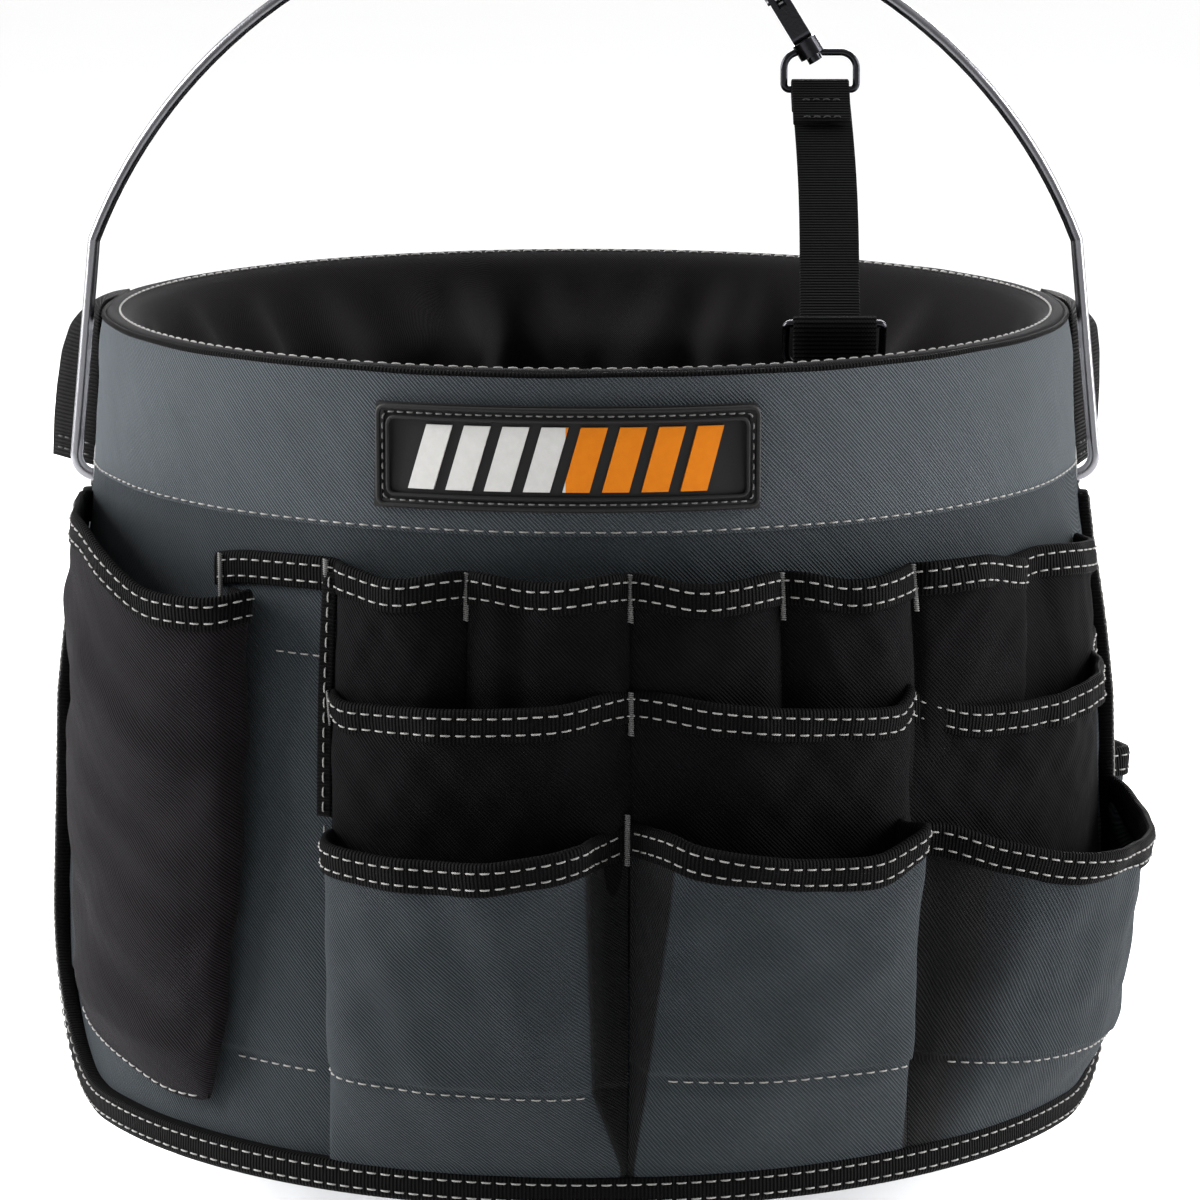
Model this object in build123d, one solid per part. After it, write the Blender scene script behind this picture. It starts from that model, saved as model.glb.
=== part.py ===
from build123d import *

import os
from math import asin, cos, degrees, radians, sin, sqrt

# Tool bucket organizer: a fabric pocket apron hung over the rim of a 5-gallon pail.
#
# Frame: origin at the centre of the pail's base, +Z up, front of the organizer towards -Y,
# +X to the right. Azimuth is counted in degrees from the front centre, positive towards +X.
# All sizes are in millimetres. One STEP file is written per piece.

# ---- pail ----
PAIL_HEIGHT = 368.0
PAIL_BASE_R = 131.0
PAIL_TOP_R = 147.6
PAIL_WALL = 2.2
PAIL_FLOOR = 3.0
LIP_R = 151.5
LIP_HEIGHT = 6.0
COLLAR_RIB_Z = (352.0, 300.0)
COLLAR_RIB_R = 150.6
COLLAR_RIB_HEIGHT = 4.0

# ---- bail: wire handle and its pivots ----
WIRE_R = 2.0
PIVOT_Z = 317.0
PIVOT_BORE_R = 2.06
EAR_R = 11.0
EAR_FACE_X = 158.2
PIN_TIP_X = 149.5
LEG_FOOT_X = 165.2
LEG_TOP_X = 157.8
FOOT_BEND_R = 6.5
BOW_R = 169.5
BOW_CENTRE_Z = 331.5
GRIP_HALF_LENGTH = 38.0
GRIP_R = 11.0
GRIP_BORE_R = 2.06
STRAIGHT_HALF = 41.0

# ---- fabric ----
FABRIC = 1.2
GAP = 0.3
POCKET_WALL = 1.2
SLACK = 2.0
BINDING = 1.0
BINDING_WIDTH = 9.5
RIM_TOP = 371.0
CUFF_BOTTOM = 322.0
HEM_Z = 124.0
SIDE_EDGE_Y = 15.0
HEM_CORNER_R = 62.0
LINING_BOTTOM = 225.0
PIPING_R = 155.2
# outer face of the hanging fabric: (height, radius)
DRAPE = (
    (HEM_Z, 168.0), (270.0, 163.5), (300.0, 161.0), (CUFF_BOTTOM, 158.0), (345.0, 156.6), (370.0, 155.0),
)

# how far the front of each pocket row stands off the drape: (height, offset)
UPPER_FRONT = ((244.0, 3.0), (314.0, 12.5))
MIDDLE_FRONT = ((196.0, 3.0), (279.0, 19.5))
LOWER_FRONT = ((134.0, 4.5), (166.0, 16.0), (237.0, 33.0))
UPPER_SPLITS = (-27.0, -12.0, 4.6, 20.5, 35.0, 50.0, 68.0)
MIDDLE_SPLITS = (-27.0, 4.6, 35.0)
BINDING_START = -41.0
LOWER_SPANS = ((-27.0, 2.0), (8.5, 37.0))
# rounded pouches: azimuth of the middle, half width, (height, depth) at the bottom and the mouth
SLEEVE = (-56.5, 57.0, ((147.0, 12.0), (309.0, 31.0)))
SIDE_POUCH = (57.0, 52.0, ((200.0, 6.0), (276.0, 19.0)))
LOWER_POUCH = (61.0, 54.0, ((134.0, 8.0), (236.0, 38.0)))
BACK_UPPER_SPLITS = (118.0, 159.0, 201.0, 242.0)
BACK_LOWER_FRONT = ((134.0, 4.5), (160.0, 14.0), (217.0, 27.0))
BACK_LOWER_SPANS = ((101.0, 141.0), (160.0, 200.0), (219.0, 259.0))

SLEEVE_MOUTH_Z = 300.0
SLEEVE_MOUTH_SLOPE = 7.0

# ---- side hanger straps ----
HANGER_SPAN = (96.0, 106.0)
HANGER_BOTTOM = 318.0
HANGER_TAIL = 340.0
HANGER_THICKNESS = 1.8
HANGER_PROUD_R = 163.0
HANGER_INNER_R = 140.3

# ---- name patch ----
PATCH_SIZE = (114.0, 31.0)
PATCH_AZ = -2.1
PATCH_Z = 347.0
PATCH_R = 157.0
PATCH_THICKNESS = 2.4
PATCH_RELIEF = 0.8
PATCH_BORDER = 2.5
BAR_HEIGHT = 19.0
BAR_WIDTH = 7.6
BAR_PITCH = 11.4
BAR_COUNT = 8
BAR_LEAN = 16.0

# ---- strap, rings and snap hook ----
STRAP_X = 75.0
STRAP_WIDTH = 18.4
STRAP_THICKNESS = 1.6
RING_WIRE_R = 1.15
RING_HALF_WIDTH = 11.55
RING_BAR_Z = 441.7
RING_ARCH_Z = 453.6
COLLAR = (71.0, 0.0, 455.0)
COLLAR_R = 4.2
COLLAR_HALF = 2.75
HOOK_LEAN = 31.5
STUD_R = 1.6
STUD_BORE_R = 1.65
STUD_HEAD_R = 2.4
HOOK_THICKNESS = 4.4
HOOK_BODY_THICKNESS = 6.4
CROOK_INNER_R = 4.6
CROOK_OUTER_R = 8.2
CROOK_RISE = 1.5
BODY_TOP = 26.0
GATE_PIVOT = (-4.6, 20.0)
GATE_THICKNESS = 2.2
GATE_SLOT = 2.8
RIVET_R = 1.2
RIVET_BORE_R = 1.25
TAB_X_HALF = 12.5
TAB_FRONT_Y = -112.2
TAB_TOP = 384.0
TAB_BOTTOM = 342.0
TAB_DEPTH = 6.6
TAB_THICKNESS = 1.5
D_RING_BAR_Z = 380.6
D_RING_HALF_WIDTH = 14.6
D_RING_DEPTH = 20.0


def between(curve, z):
    """Value of a piecewise-linear curve of (height, value) pairs at height z."""
    if z <= curve[0][0]:
        return curve[0][1]
    for (z0, v0), (z1, v1) in zip(curve, curve[1:]):
        if z <= z1:
            return v0 + (v1 - v0) * (z - z0) / (z1 - z0)
    return curve[-1][1]


def levels(z0, z1, *curves):
    """Heights from z0 to z1 at which any of the curves bends."""
    bends = {z for curve in curves for z, _ in curve if z0 < z < z1}
    return [z0, *sorted(bends), z1]


def turned(profile, az0, az1):
    """Sweep a closed (radius, height) outline round the pail's axis between two azimuths."""
    face = Plane.XZ * make_face(Polyline(*profile, close=True))
    return Rot(0, 0, az0 - 90) * revolve(face, Axis.Z, az1 - az0)


def drape_band(inner, outer, z0, z1, az0, az1):
    """Layer between two offsets from the drape; each offset is a number or a curve."""
    inner_curve = inner if isinstance(inner, tuple) else ((z0, inner), (z1, inner))
    outer_curve = outer if isinstance(outer, tuple) else ((z0, outer), (z1, outer))
    steps = levels(z0, z1, DRAPE, inner_curve, outer_curve)
    rising = [(between(DRAPE, z) + between(outer_curve, z), z) for z in steps]
    falling = [(between(DRAPE, z) + between(inner_curve, z), z) for z in reversed(steps)]
    return turned(rising + falling, az0, az1)


def pouch(back, front, z0, z1, az0, az1):
    """Open-topped pocket: a front wall, two sides and a bottom, sewn to what lies behind it."""
    lift = tuple((z, v - POCKET_WALL) for z, v in front)
    side = degrees(POCKET_WALL / between(DRAPE, z0))
    outer = drape_band(back, front, z0, z1, az0, az1)
    hollow = drape_band(-20.0, lift, z0 + POCKET_WALL, z1 + 20.0, az0 + side, az1 - side)
    return outer - hollow


def rounded_solid(shape, grow, z0, z1):
    """Tapered solid of elliptical plan, centred on the drape."""
    az, half_width, depths = shape
    ellipses = []
    for z in (z0, z1):
        (low, low_depth), (high, high_depth) = depths
        depth = low_depth + (high_depth - low_depth) * (z - low) / (high - low)
        r = between(DRAPE, z)
        place = Pos(0, 0, z) * Rot(0, 0, az - 90) * Pos(r, 0, 0)
        ellipses.append(place * Ellipse(depth + grow, half_width + grow))
    return loft(ellipses, ruled=True)


def rounded_pouch(shape, back, front_side=True):
    """Open-topped pocket that bulges in a half ellipse from what lies behind it."""
    z0, z1 = shape[2][0][0], shape[2][1][0]
    outer = rounded_solid(shape, 0.0, z0, z1)
    hollow = rounded_solid(shape, -POCKET_WALL, z0 + POCKET_WALL, z1 + 10)
    behind = drape_band(-60.0, back, z0 - 5, z1 + 15, 0, 360)
    return (outer - hollow - behind) & side_outline(BINDING_WIDTH + GAP, front_side)


def rounded_binding(shape, back, width=BINDING_WIDTH):
    """Folded webbing over the mouth edge of a rounded pouch."""
    z1 = shape[2][1][0]
    z0, cap_z = z1 - width, z1 + GAP + BINDING
    behind = drape_band(-60.0, back, z0 - 5, z1 + 15, 0, 360)
    leaf = rounded_solid(shape, GAP + BINDING, z0, z1 + GAP)
    leaf = leaf - rounded_solid(shape, GAP, z0 - 1, z1 + GAP + 1)
    cap = rounded_solid(shape, GAP + BINDING, z1 + GAP, cap_z)
    cap = cap - rounded_solid(shape, -POCKET_WALL, z1, cap_z + 1)
    return (leaf + cap - behind) & side_outline(BINDING_WIDTH + GAP, True)


def edge_binding(front, z_top, az0, az1, width=BINDING_WIDTH):
    """Folded webbing over the mouth edge of a pocket's front wall."""
    wall_out = between(front, z_top)
    z0 = z_top - width
    outside = tuple((z, v + GAP + BINDING) for z, v in front)
    face = tuple((z, v + GAP) for z, v in front)
    cap_z = z_top + GAP + BINDING
    near = wall_out - POCKET_WALL
    leaf = drape_band(face, outside, z0, z_top + GAP, az0, az1)
    cap = drape_band(near, wall_out + GAP + BINDING, z_top + GAP, cap_z, az0, az1)
    return leaf + cap


def side_outline(inset, front):
    """Block that keeps the front (or back) apron inside its side edges and rounded hem."""
    sign = -1 if front else 1
    far, top, half = 260.0, 420.0, 220.0
    y0, z0, r = SIDE_EDGE_Y + inset, HEM_Z + inset, HEM_CORNER_R - inset
    with BuildSketch(Plane.YZ) as sketch:
        with BuildLine():
            corner = RadiusArc((sign * y0, z0 + r), (sign * (y0 + r), z0), sign * r)
            Polyline(corner @ 1, (sign * far, z0), (sign * far, top), (sign * y0, top), corner @ 0)
        make_face()
    return extrude(sketch.sketch, amount=half, both=True)


def save(shape, node):
    shape.label = node
    export_step(shape, f"parts/{node}.step")


# ------------------------------------------------------------------ pail and bail
def pail_shell():
    def wall(z):
        return PAIL_BASE_R + (PAIL_TOP_R - PAIL_BASE_R) * z / PAIL_HEIGHT

    outer = [(0, 0), (PAIL_BASE_R, 0)]
    for z in sorted(COLLAR_RIB_Z):
        outer += [(wall(z), z), (COLLAR_RIB_R, z), (COLLAR_RIB_R, z + COLLAR_RIB_HEIGHT)]
        outer += [(wall(z + COLLAR_RIB_HEIGHT), z + COLLAR_RIB_HEIGHT)]
    lip_z = PAIL_HEIGHT - LIP_HEIGHT
    outer += [(wall(lip_z), lip_z), (LIP_R, lip_z), (LIP_R, PAIL_HEIGHT)]
    inner = [(r - PAIL_WALL, z) for r, z in ((PAIL_TOP_R, PAIL_HEIGHT), (wall(PAIL_FLOOR), PAIL_FLOOR))]
    shell = turned(outer + inner + [(0, PAIL_FLOOR)], 0, 360)
    for side in (-1, 1):
        root = wall(PIVOT_Z) - PAIL_WALL / 2
        depth = EAR_FACE_X - root
        ear = Pos(side * (root + depth / 2), 0, PIVOT_Z) * Rot(0, 90, 0) * Cylinder(EAR_R, depth)
        bore = Pos(side * EAR_FACE_X, 0, PIVOT_Z) * Rot(0, 90, 0) * Cylinder(PIVOT_BORE_R, 40)
        shell = shell + ear - bore
    return shell


def bail_wire():
    """Wire in the XZ plane: pin, leg, bow, straight top for the grip, and the same mirrored."""
    flat_z = BOW_CENTRE_Z + sqrt(BOW_R**2 - STRAIGHT_HALF**2)
    shoulder_angle = degrees(asin(STRAIGHT_HALF / BOW_R))
    bow_end = degrees(asin(LEG_TOP_X / BOW_R))
    bow_foot_z = BOW_CENTRE_Z + sqrt(BOW_R**2 - LEG_TOP_X ** 2)
    centre = (0, BOW_CENTRE_Z)
    foot = FilletPolyline(
        (PIN_TIP_X, PIVOT_Z), (LEG_FOOT_X, PIVOT_Z), (LEG_TOP_X, bow_foot_z), radius=FOOT_BEND_R
    )
    bow = CenterArc(centre, BOW_R, 90 - bow_end, bow_end - shoulder_angle)
    top = Line((-STRAIGHT_HALF, flat_z), (STRAIGHT_HALF, flat_z))
    half = [foot, bow]
    wires = [Plane.XZ * piece for piece in half]
    sections = [sweep_round(wire, WIRE_R) for wire in wires]
    mirrored = [mirror(section, Plane.YZ) for section in sections]
    middle = sweep_round(Plane.XZ * top, WIRE_R)
    knots = [(LEG_TOP_X, bow_foot_z), (STRAIGHT_HALF, flat_z)]
    joints = [Pos(side * x, 0, z) * Sphere(WIRE_R) for x, z in knots for side in (-1, 1)]
    return middle.fuse(*sections, *mirrored, *joints)


def sweep_round(path, radius):
    profile = Plane(origin=path @ 0, z_dir=path % 0) * Circle(radius)
    return sweep(profile, path=path)


def bail_grip():
    """Barrel grip, thicker in the middle, turning on the straight top of the wire."""
    flat_z = BOW_CENTRE_Z + sqrt(BOW_R**2 - STRAIGHT_HALF**2)
    end_r = GRIP_R - 2.5
    with BuildSketch(Plane.XZ) as sketch:
        with BuildLine():
            crown = ThreePointArc((-GRIP_HALF_LENGTH, end_r), (0, GRIP_R), (GRIP_HALF_LENGTH, end_r))
            Polyline(crown @ 1, (GRIP_HALF_LENGTH, GRIP_BORE_R), (-GRIP_HALF_LENGTH, GRIP_BORE_R), crown @ 0)
        make_face()
    return Pos(0, 0, flat_z) * revolve(sketch.sketch, Axis.X, 360)


# ------------------------------------------------------------------ snap hook and rings
HOOK_PLANE = Plane(
    origin=COLLAR,
    x_dir=(0, 1, 0),
    z_dir=(cos(radians(HOOK_LEAN)), 0, sin(radians(HOOK_LEAN))),
)


def wire_height_on_hook():
    """Distance from the collar to the bail wire along the hook's axis."""
    dx, dz = -sin(radians(HOOK_LEAN)), cos(radians(HOOK_LEAN))
    x0, z0 = COLLAR[0], COLLAR[2] - BOW_CENTRE_Z
    half_b = x0 * dx + z0 * dz
    return -half_b + sqrt(half_b**2 - (x0**2 + z0**2 - BOW_R**2))


WIRE_AT = wire_height_on_hook()


def hook_plate(sketch, thickness):
    return extrude(HOOK_PLANE * sketch, amount=thickness / 2, both=True)


def strap_ring():
    """D ring with the swivel collar cast on its arch."""
    half, bar_z, top_z = RING_HALF_WIDTH, RING_BAR_Z, RING_ARCH_Z
    corner, shoulder = 1.8, 5.2
    points = [(half, bar_z), (half, top_z), (-half, top_z), (-half, bar_z)]
    outline = FilletPolyline(*points, radius=(corner, shoulder, shoulder, corner), close=True)
    path = Plane.XZ * (Pos(STRAP_X, 0, 0) * outline)
    ring = sweep_round(path, RING_WIRE_R)
    collar = HOOK_PLANE * (Rot(-90, 0, 0) * Cylinder(COLLAR_R, 2 * COLLAR_HALF))
    bore = HOOK_PLANE * (Rot(-90, 0, 0) * Cylinder(STUD_BORE_R, 6 * COLLAR_HALF))
    room = Pos(0, -COLLAR_HALF - 2.4, 0) * Rot(-90, 0, 0) * Cylinder(STUD_HEAD_R + 0.3, 4.8)
    return ring + collar - bore - HOOK_PLANE * room


def swivel_stud():
    foot, head_h, buried = -COLLAR_HALF - 0.3, 1.9, 6.0
    hook_base = COLLAR_HALF + 0.35
    shank_length = hook_base + buried - foot
    shank = Pos(0, foot + shank_length / 2, 0) * Rot(-90, 0, 0) * Cylinder(STUD_R, shank_length)
    head = Pos(0, foot - head_h / 2, 0) * Rot(-90, 0, 0) * Cylinder(STUD_HEAD_R, head_h)
    return HOOK_PLANE * (shank + head)


def hook_body():
    """Hook bent round the wire, with a slotted base that carries the gate and the swivel stud."""
    base_z, crook_z = COLLAR_HALF + 0.35, WIRE_AT + CROOK_RISE
    nose_z = WIRE_AT - 9.0
    middle_r = (CROOK_INNER_R + CROOK_OUTER_R) / 2
    bar = CROOK_OUTER_R - CROOK_INNER_R
    crook = Pos(0, crook_z) * (Circle(CROOK_OUTER_R) - Circle(CROOK_INNER_R))
    crook = crook - Pos(0, crook_z - CROOK_OUTER_R) * Rectangle(4 * CROOK_OUTER_R, 2 * CROOK_OUTER_R)
    spine_h = crook_z - BODY_TOP + 6
    spine = Pos(middle_r, crook_z - spine_h / 2) * Rectangle(bar, spine_h)
    nose = Pos(-middle_r, (crook_z + nose_z) / 2) * Rectangle(bar, crook_z - nose_z)
    upper = hook_plate(crook + spine + nose, HOOK_THICKNESS)
    base_h = BODY_TOP - base_z
    base_sketch = Pos(0, base_z + base_h / 2) * RectangleRounded(2 * CROOK_OUTER_R, base_h, 2.4)
    base = hook_plate(base_sketch, HOOK_BODY_THICKNESS)
    slot_sketch = Pos(-CROOK_OUTER_R + 3.6, BODY_TOP - 4.6) * Rectangle(8.4, 11.2)
    slot = hook_plate(slot_sketch, GATE_SLOT)
    stud_hole = HOOK_PLANE * (Pos(0, base_z + 3.0, 0) * Rot(-90, 0, 0) * Cylinder(STUD_R, 6.0))
    rivet_hole = hook_plate(Pos(*GATE_PIVOT) * Circle(RIVET_R), 4 * HOOK_BODY_THICKNESS)
    return upper + base - slot - stud_hole - rivet_hole


def hook_gate():
    """Gate lever closing the hook, with a thumb tab above the base."""
    x, z = GATE_PIVOT
    tip = WIRE_AT - 9.3
    bar_x, bar_w = -(CROOK_INNER_R + CROOK_OUTER_R) / 2, 3.0
    bar = Pos(bar_x, (z + tip) / 2) * Rectangle(bar_w, tip - z)
    eye = Pos(x, z) * Circle(2.7)
    tab = Pos(bar_x - 3.0, BODY_TOP + 5.2) * RectangleRounded(5.6, 5.6, 1.6)
    bore = Pos(x, z) * Circle(RIVET_BORE_R)
    return hook_plate(bar + eye + tab - bore, GATE_THICKNESS)


def gate_rivet():
    shank = hook_plate(Pos(*GATE_PIVOT) * Circle(RIVET_R), HOOK_BODY_THICKNESS)
    head_z = HOOK_BODY_THICKNESS / 2
    head = Cylinder(2.0, 0.7)
    heads = [HOOK_PLANE * (Pos(*GATE_PIVOT, side * (head_z + 0.35)) * head) for side in (-1, 1)]
    return shank.fuse(*heads)


def gate_spring():
    leaf = Pos(-0.75, 20.2) * Rectangle(0.3, 7.6)
    return hook_plate(leaf, GATE_THICKNESS - 0.6)


def strap_webbing():
    """Webbing from the ring's bar, through the D ring, down to its stitched end on the lining."""
    bar, loop_r = (0, RING_BAR_Z), RING_WIRE_R + GAP
    route = Polyline(bar, (-100.0, 372.5), (-103.6, 338.0), (-112.0, 316.0))
    band = trace(route, line_width=STRAP_THICKNESS)
    fold_end = (-11.6, RING_BAR_Z - 11.6 * (RING_BAR_Z - 372.5) / 100.0)
    fold = trace(Polyline(bar, fold_end), line_width=2 * STRAP_THICKNESS)
    loop = Pos(*bar) * Circle(loop_r + STRAP_THICKNESS)
    section = band + fold + loop - Pos(*bar) * Circle(loop_r)
    return Pos(STRAP_X, 0, 0) * extrude(Plane.YZ * section, amount=STRAP_WIDTH / 2, both=True)


def anchor_tab():
    """Loop of wide webbing sewn inside the lining, which holds the D ring."""
    height = TAB_TOP - TAB_BOTTOM
    centre = Pos(TAB_FRONT_Y + TAB_DEPTH / 2, (TAB_TOP + TAB_BOTTOM) / 2)
    outer = RectangleRounded(TAB_DEPTH, height, TAB_DEPTH / 2 - 0.01)
    inner_w, inner_h = TAB_DEPTH - 2 * TAB_THICKNESS, height - 2 * TAB_THICKNESS
    section = centre * (outer - RectangleRounded(inner_w, inner_h, inner_w / 2 - 0.01))
    return Pos(STRAP_X, 0, 0) * extrude(Plane.YZ * section, amount=TAB_X_HALF, both=True)


def anchor_ring():
    """D ring: its bar lies in the tab's loop and its arch hangs behind, round the strap."""
    bar_y = TAB_FRONT_Y + TAB_DEPTH / 2
    half, depth = D_RING_HALF_WIDTH, D_RING_DEPTH
    plane = Plane(origin=(STRAP_X, bar_y, D_RING_BAR_Z), x_dir=(1, 0, 0), z_dir=(0, -0.81, -0.5864))
    points = [(half, 0), (half, -depth), (-half, -depth), (-half, 0)]
    path = plane * FilletPolyline(*points, radius=(1.6, 9.0, 9.0, 1.6), close=True)
    return sweep_round(path, RING_WIRE_R)


# ------------------------------------------------------------------ fabric body
def rim_lining():
    def liner(z):
        slope = (PAIL_TOP_R - PAIL_BASE_R) / PAIL_HEIGHT
        return PAIL_TOP_R - PAIL_WALL - (PAIL_HEIGHT - z) * slope - GAP

    top = PAIL_HEIGHT
    profile = [
        (liner(top), top),
        (liner(LINING_BOTTOM), LINING_BOTTOM),
        (liner(LINING_BOTTOM) - FABRIC, LINING_BOTTOM),
        (liner(top) - FABRIC, top),
    ]
    return turned(profile, 0, 360)


def rim_piping():
    """Black binding laid over the pail's lip, joining the lining to the cuffs."""
    inner, outer = PAIL_TOP_R - PAIL_WALL - GAP - FABRIC, PIPING_R
    thickness = RIM_TOP - PAIL_HEIGHT - GAP
    centre = ((inner + outer) / 2, RIM_TOP - thickness / 2)
    section = Pos(*centre) * RectangleRounded(outer - inner, thickness, thickness / 2 - 0.05)
    return revolve(Plane.XZ * section, Axis.Z, 360)


def cuff(front):
    az0, az1 = (-89.4, 89.4) if front else (90.6, 269.4)
    band = drape_band(-FABRIC, 0.0, CUFF_BOTTOM - 4, PAIL_HEIGHT, az0, az1)
    opening = Pos(0, 0, PIVOT_Z) * Rot(0, 90, 0) * Cylinder(EAR_R + 3, 400)
    return band - opening


def apron(front):
    az0, az1 = (-90, 90) if front else (90, 270)
    sheet = drape_band(-FABRIC, 0.0, HEM_Z, CUFF_BOTTOM - 4 - GAP, az0, az1)
    return sheet & side_outline(4.5, front)


def hem_binding(front):
    az0, az1 = (-90, 90) if front else (90, 270)
    top = CUFF_BOTTOM - 4 - GAP
    thick = drape_band(-FABRIC - GAP - BINDING, GAP + BINDING, HEM_Z, top, az0, az1)
    band = (thick & side_outline(0.0, front)) - side_outline(BINDING_WIDTH, front)
    groove = drape_band(-FABRIC - GAP, GAP, HEM_Z, top + 1, az0, az1) & side_outline(4.5 - GAP, front)
    return band - groove


def hanger_strap(side):
    """Webbing over the rim beside the bail's pivot, standing proud of the cuff outside."""
    az0, az1 = HANGER_SPAN if side > 0 else (360 - HANGER_SPAN[1], 360 - HANGER_SPAN[0])
    t, top = HANGER_THICKNESS, RIM_TOP + GAP
    proud, inner = HANGER_PROUD_R, HANGER_INNER_R
    profile = [
        (proud - t, HANGER_BOTTOM), (proud, HANGER_BOTTOM), (proud, top), (proud - 3, top + t),
        (inner + 2, top + t), (inner, top), (inner, HANGER_TAIL), (inner + t, HANGER_TAIL),
        (inner + t, top), (proud - t, top),
    ]
    return turned(profile, az0, az1)


def name_patch():
    """Moulded badge with a raised border, bent round the cuff."""
    half_w, half_h = PATCH_SIZE[0] / 2, PATCH_SIZE[1] / 2
    az, az_in = degrees(half_w / PATCH_R), degrees((half_w - PATCH_BORDER) / PATCH_R)
    z0, z1 = PATCH_Z - half_h, PATCH_Z + half_h
    face = GAP + PATCH_THICKNESS
    plate = drape_band(GAP, face, z0, z1, PATCH_AZ - az, PATCH_AZ + az)
    low, high = z0 + PATCH_BORDER, z1 - PATCH_BORDER
    return plate - drape_band(face - PATCH_RELIEF, face + 1, low, high, PATCH_AZ - az_in, PATCH_AZ + az_in)


def patch_bars():
    """Plain leaning bars raised inside the badge's border."""
    base = GAP + PATCH_THICKNESS - PATCH_RELIEF
    z0, z1 = PATCH_Z - BAR_HEIGHT / 2, PATCH_Z + BAR_HEIGHT / 2
    band = drape_band(base, base + PATCH_RELIEF, z0, z1, -35, 35)
    slab = Pos(0, -PATCH_R, PATCH_Z) * Rot(0, BAR_LEAN, 0) * Box(BAR_WIDTH, 80, 4 * BAR_HEIGHT)
    middles = [PATCH_AZ + degrees(BAR_PITCH * (i - (BAR_COUNT - 1) / 2) / PATCH_R) for i in range(BAR_COUNT)]
    return Compound(children=[band & (Rot(0, 0, az) * slab) for az in middles])


def bar_tacks():
    """Short dense stitches at the pocket divisions."""
    tacks = []
    for front, mouth, splits in (
        (UPPER_FRONT, UPPER_FRONT[-1][0], UPPER_SPLITS[1:-1]),
        (MIDDLE_FRONT, MIDDLE_FRONT[-1][0], MIDDLE_SPLITS[1:-1]),
    ):
        out = between(front, mouth) + 2 * GAP + BINDING
        curve = tuple((z, v + 2 * GAP + BINDING) for z, v in front)
        proud = tuple((z, v + 2 * GAP + BINDING + 0.8) for z, v in front)
        tacks += [drape_band(curve, proud, mouth - 12, mouth, az - 0.3, az + 0.3) for az in splits]
    return Compound(children=tacks)


# ------------------------------------------------------------------ pockets
def clear_of(front):
    return tuple((z, v + 2 * GAP) for z, v in front)


def clear_under(front, floor_z):
    """Offset curve that follows a row's front above its bottom seam and the apron below it."""
    row = clear_of(front)
    return ((floor_z - 1.0, GAP), (floor_z - 0.5, row[0][1]), *row)


MIDDLE_BACK = clear_under(UPPER_FRONT, UPPER_FRONT[0][0])
LOWER_BACK = clear_under(MIDDLE_FRONT, MIDDLE_FRONT[0][0])


SIDE_FRONT = tuple((z, depth + SLACK) for z, depth in SIDE_POUCH[2])
SIDE_BACK = clear_under(SIDE_FRONT, SIDE_FRONT[0][0])


def sleeve_cut():
    """Block above the sleeve's mouth, which slopes down towards the front."""
    return Pos(-100, 0, SLEEVE_MOUTH_Z + 50) * Rot(0, SLEEVE_MOUTH_SLOPE, 0) * Box(400, 600, 100)


def sleeve_binding():
    """Ribbed webbing on the front end of the sleeve's mouth."""
    z1 = SLEEVE[2][1][0]
    shell = rounded_solid(SLEEVE, SLACK, z1 - 30, z1) - rounded_solid(SLEEVE, 2 * GAP, z1 - 31, z1 + 1)
    low, high = sleeve_cut(), Pos(0, 0, -BINDING_WIDTH) * sleeve_cut()
    front_end = Pos(-118, -200, 300) * Box(48, 200, 120)
    behind = drape_band(-60.0, GAP, z1 - 40, z1 + 15, 0, 360)
    return ((shell & high) - low - behind) & front_end


def write_row(name, splits, front, back):
    z0, z1 = front[0][0], front[-1][0]
    for number, (az0, az1) in enumerate(zip(splits, splits[1:]), 1):
        seam = 0.15
        save(pouch(back, front, z0, z1, az0 + seam, az1 - seam), f"{name}_{number}")


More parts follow.
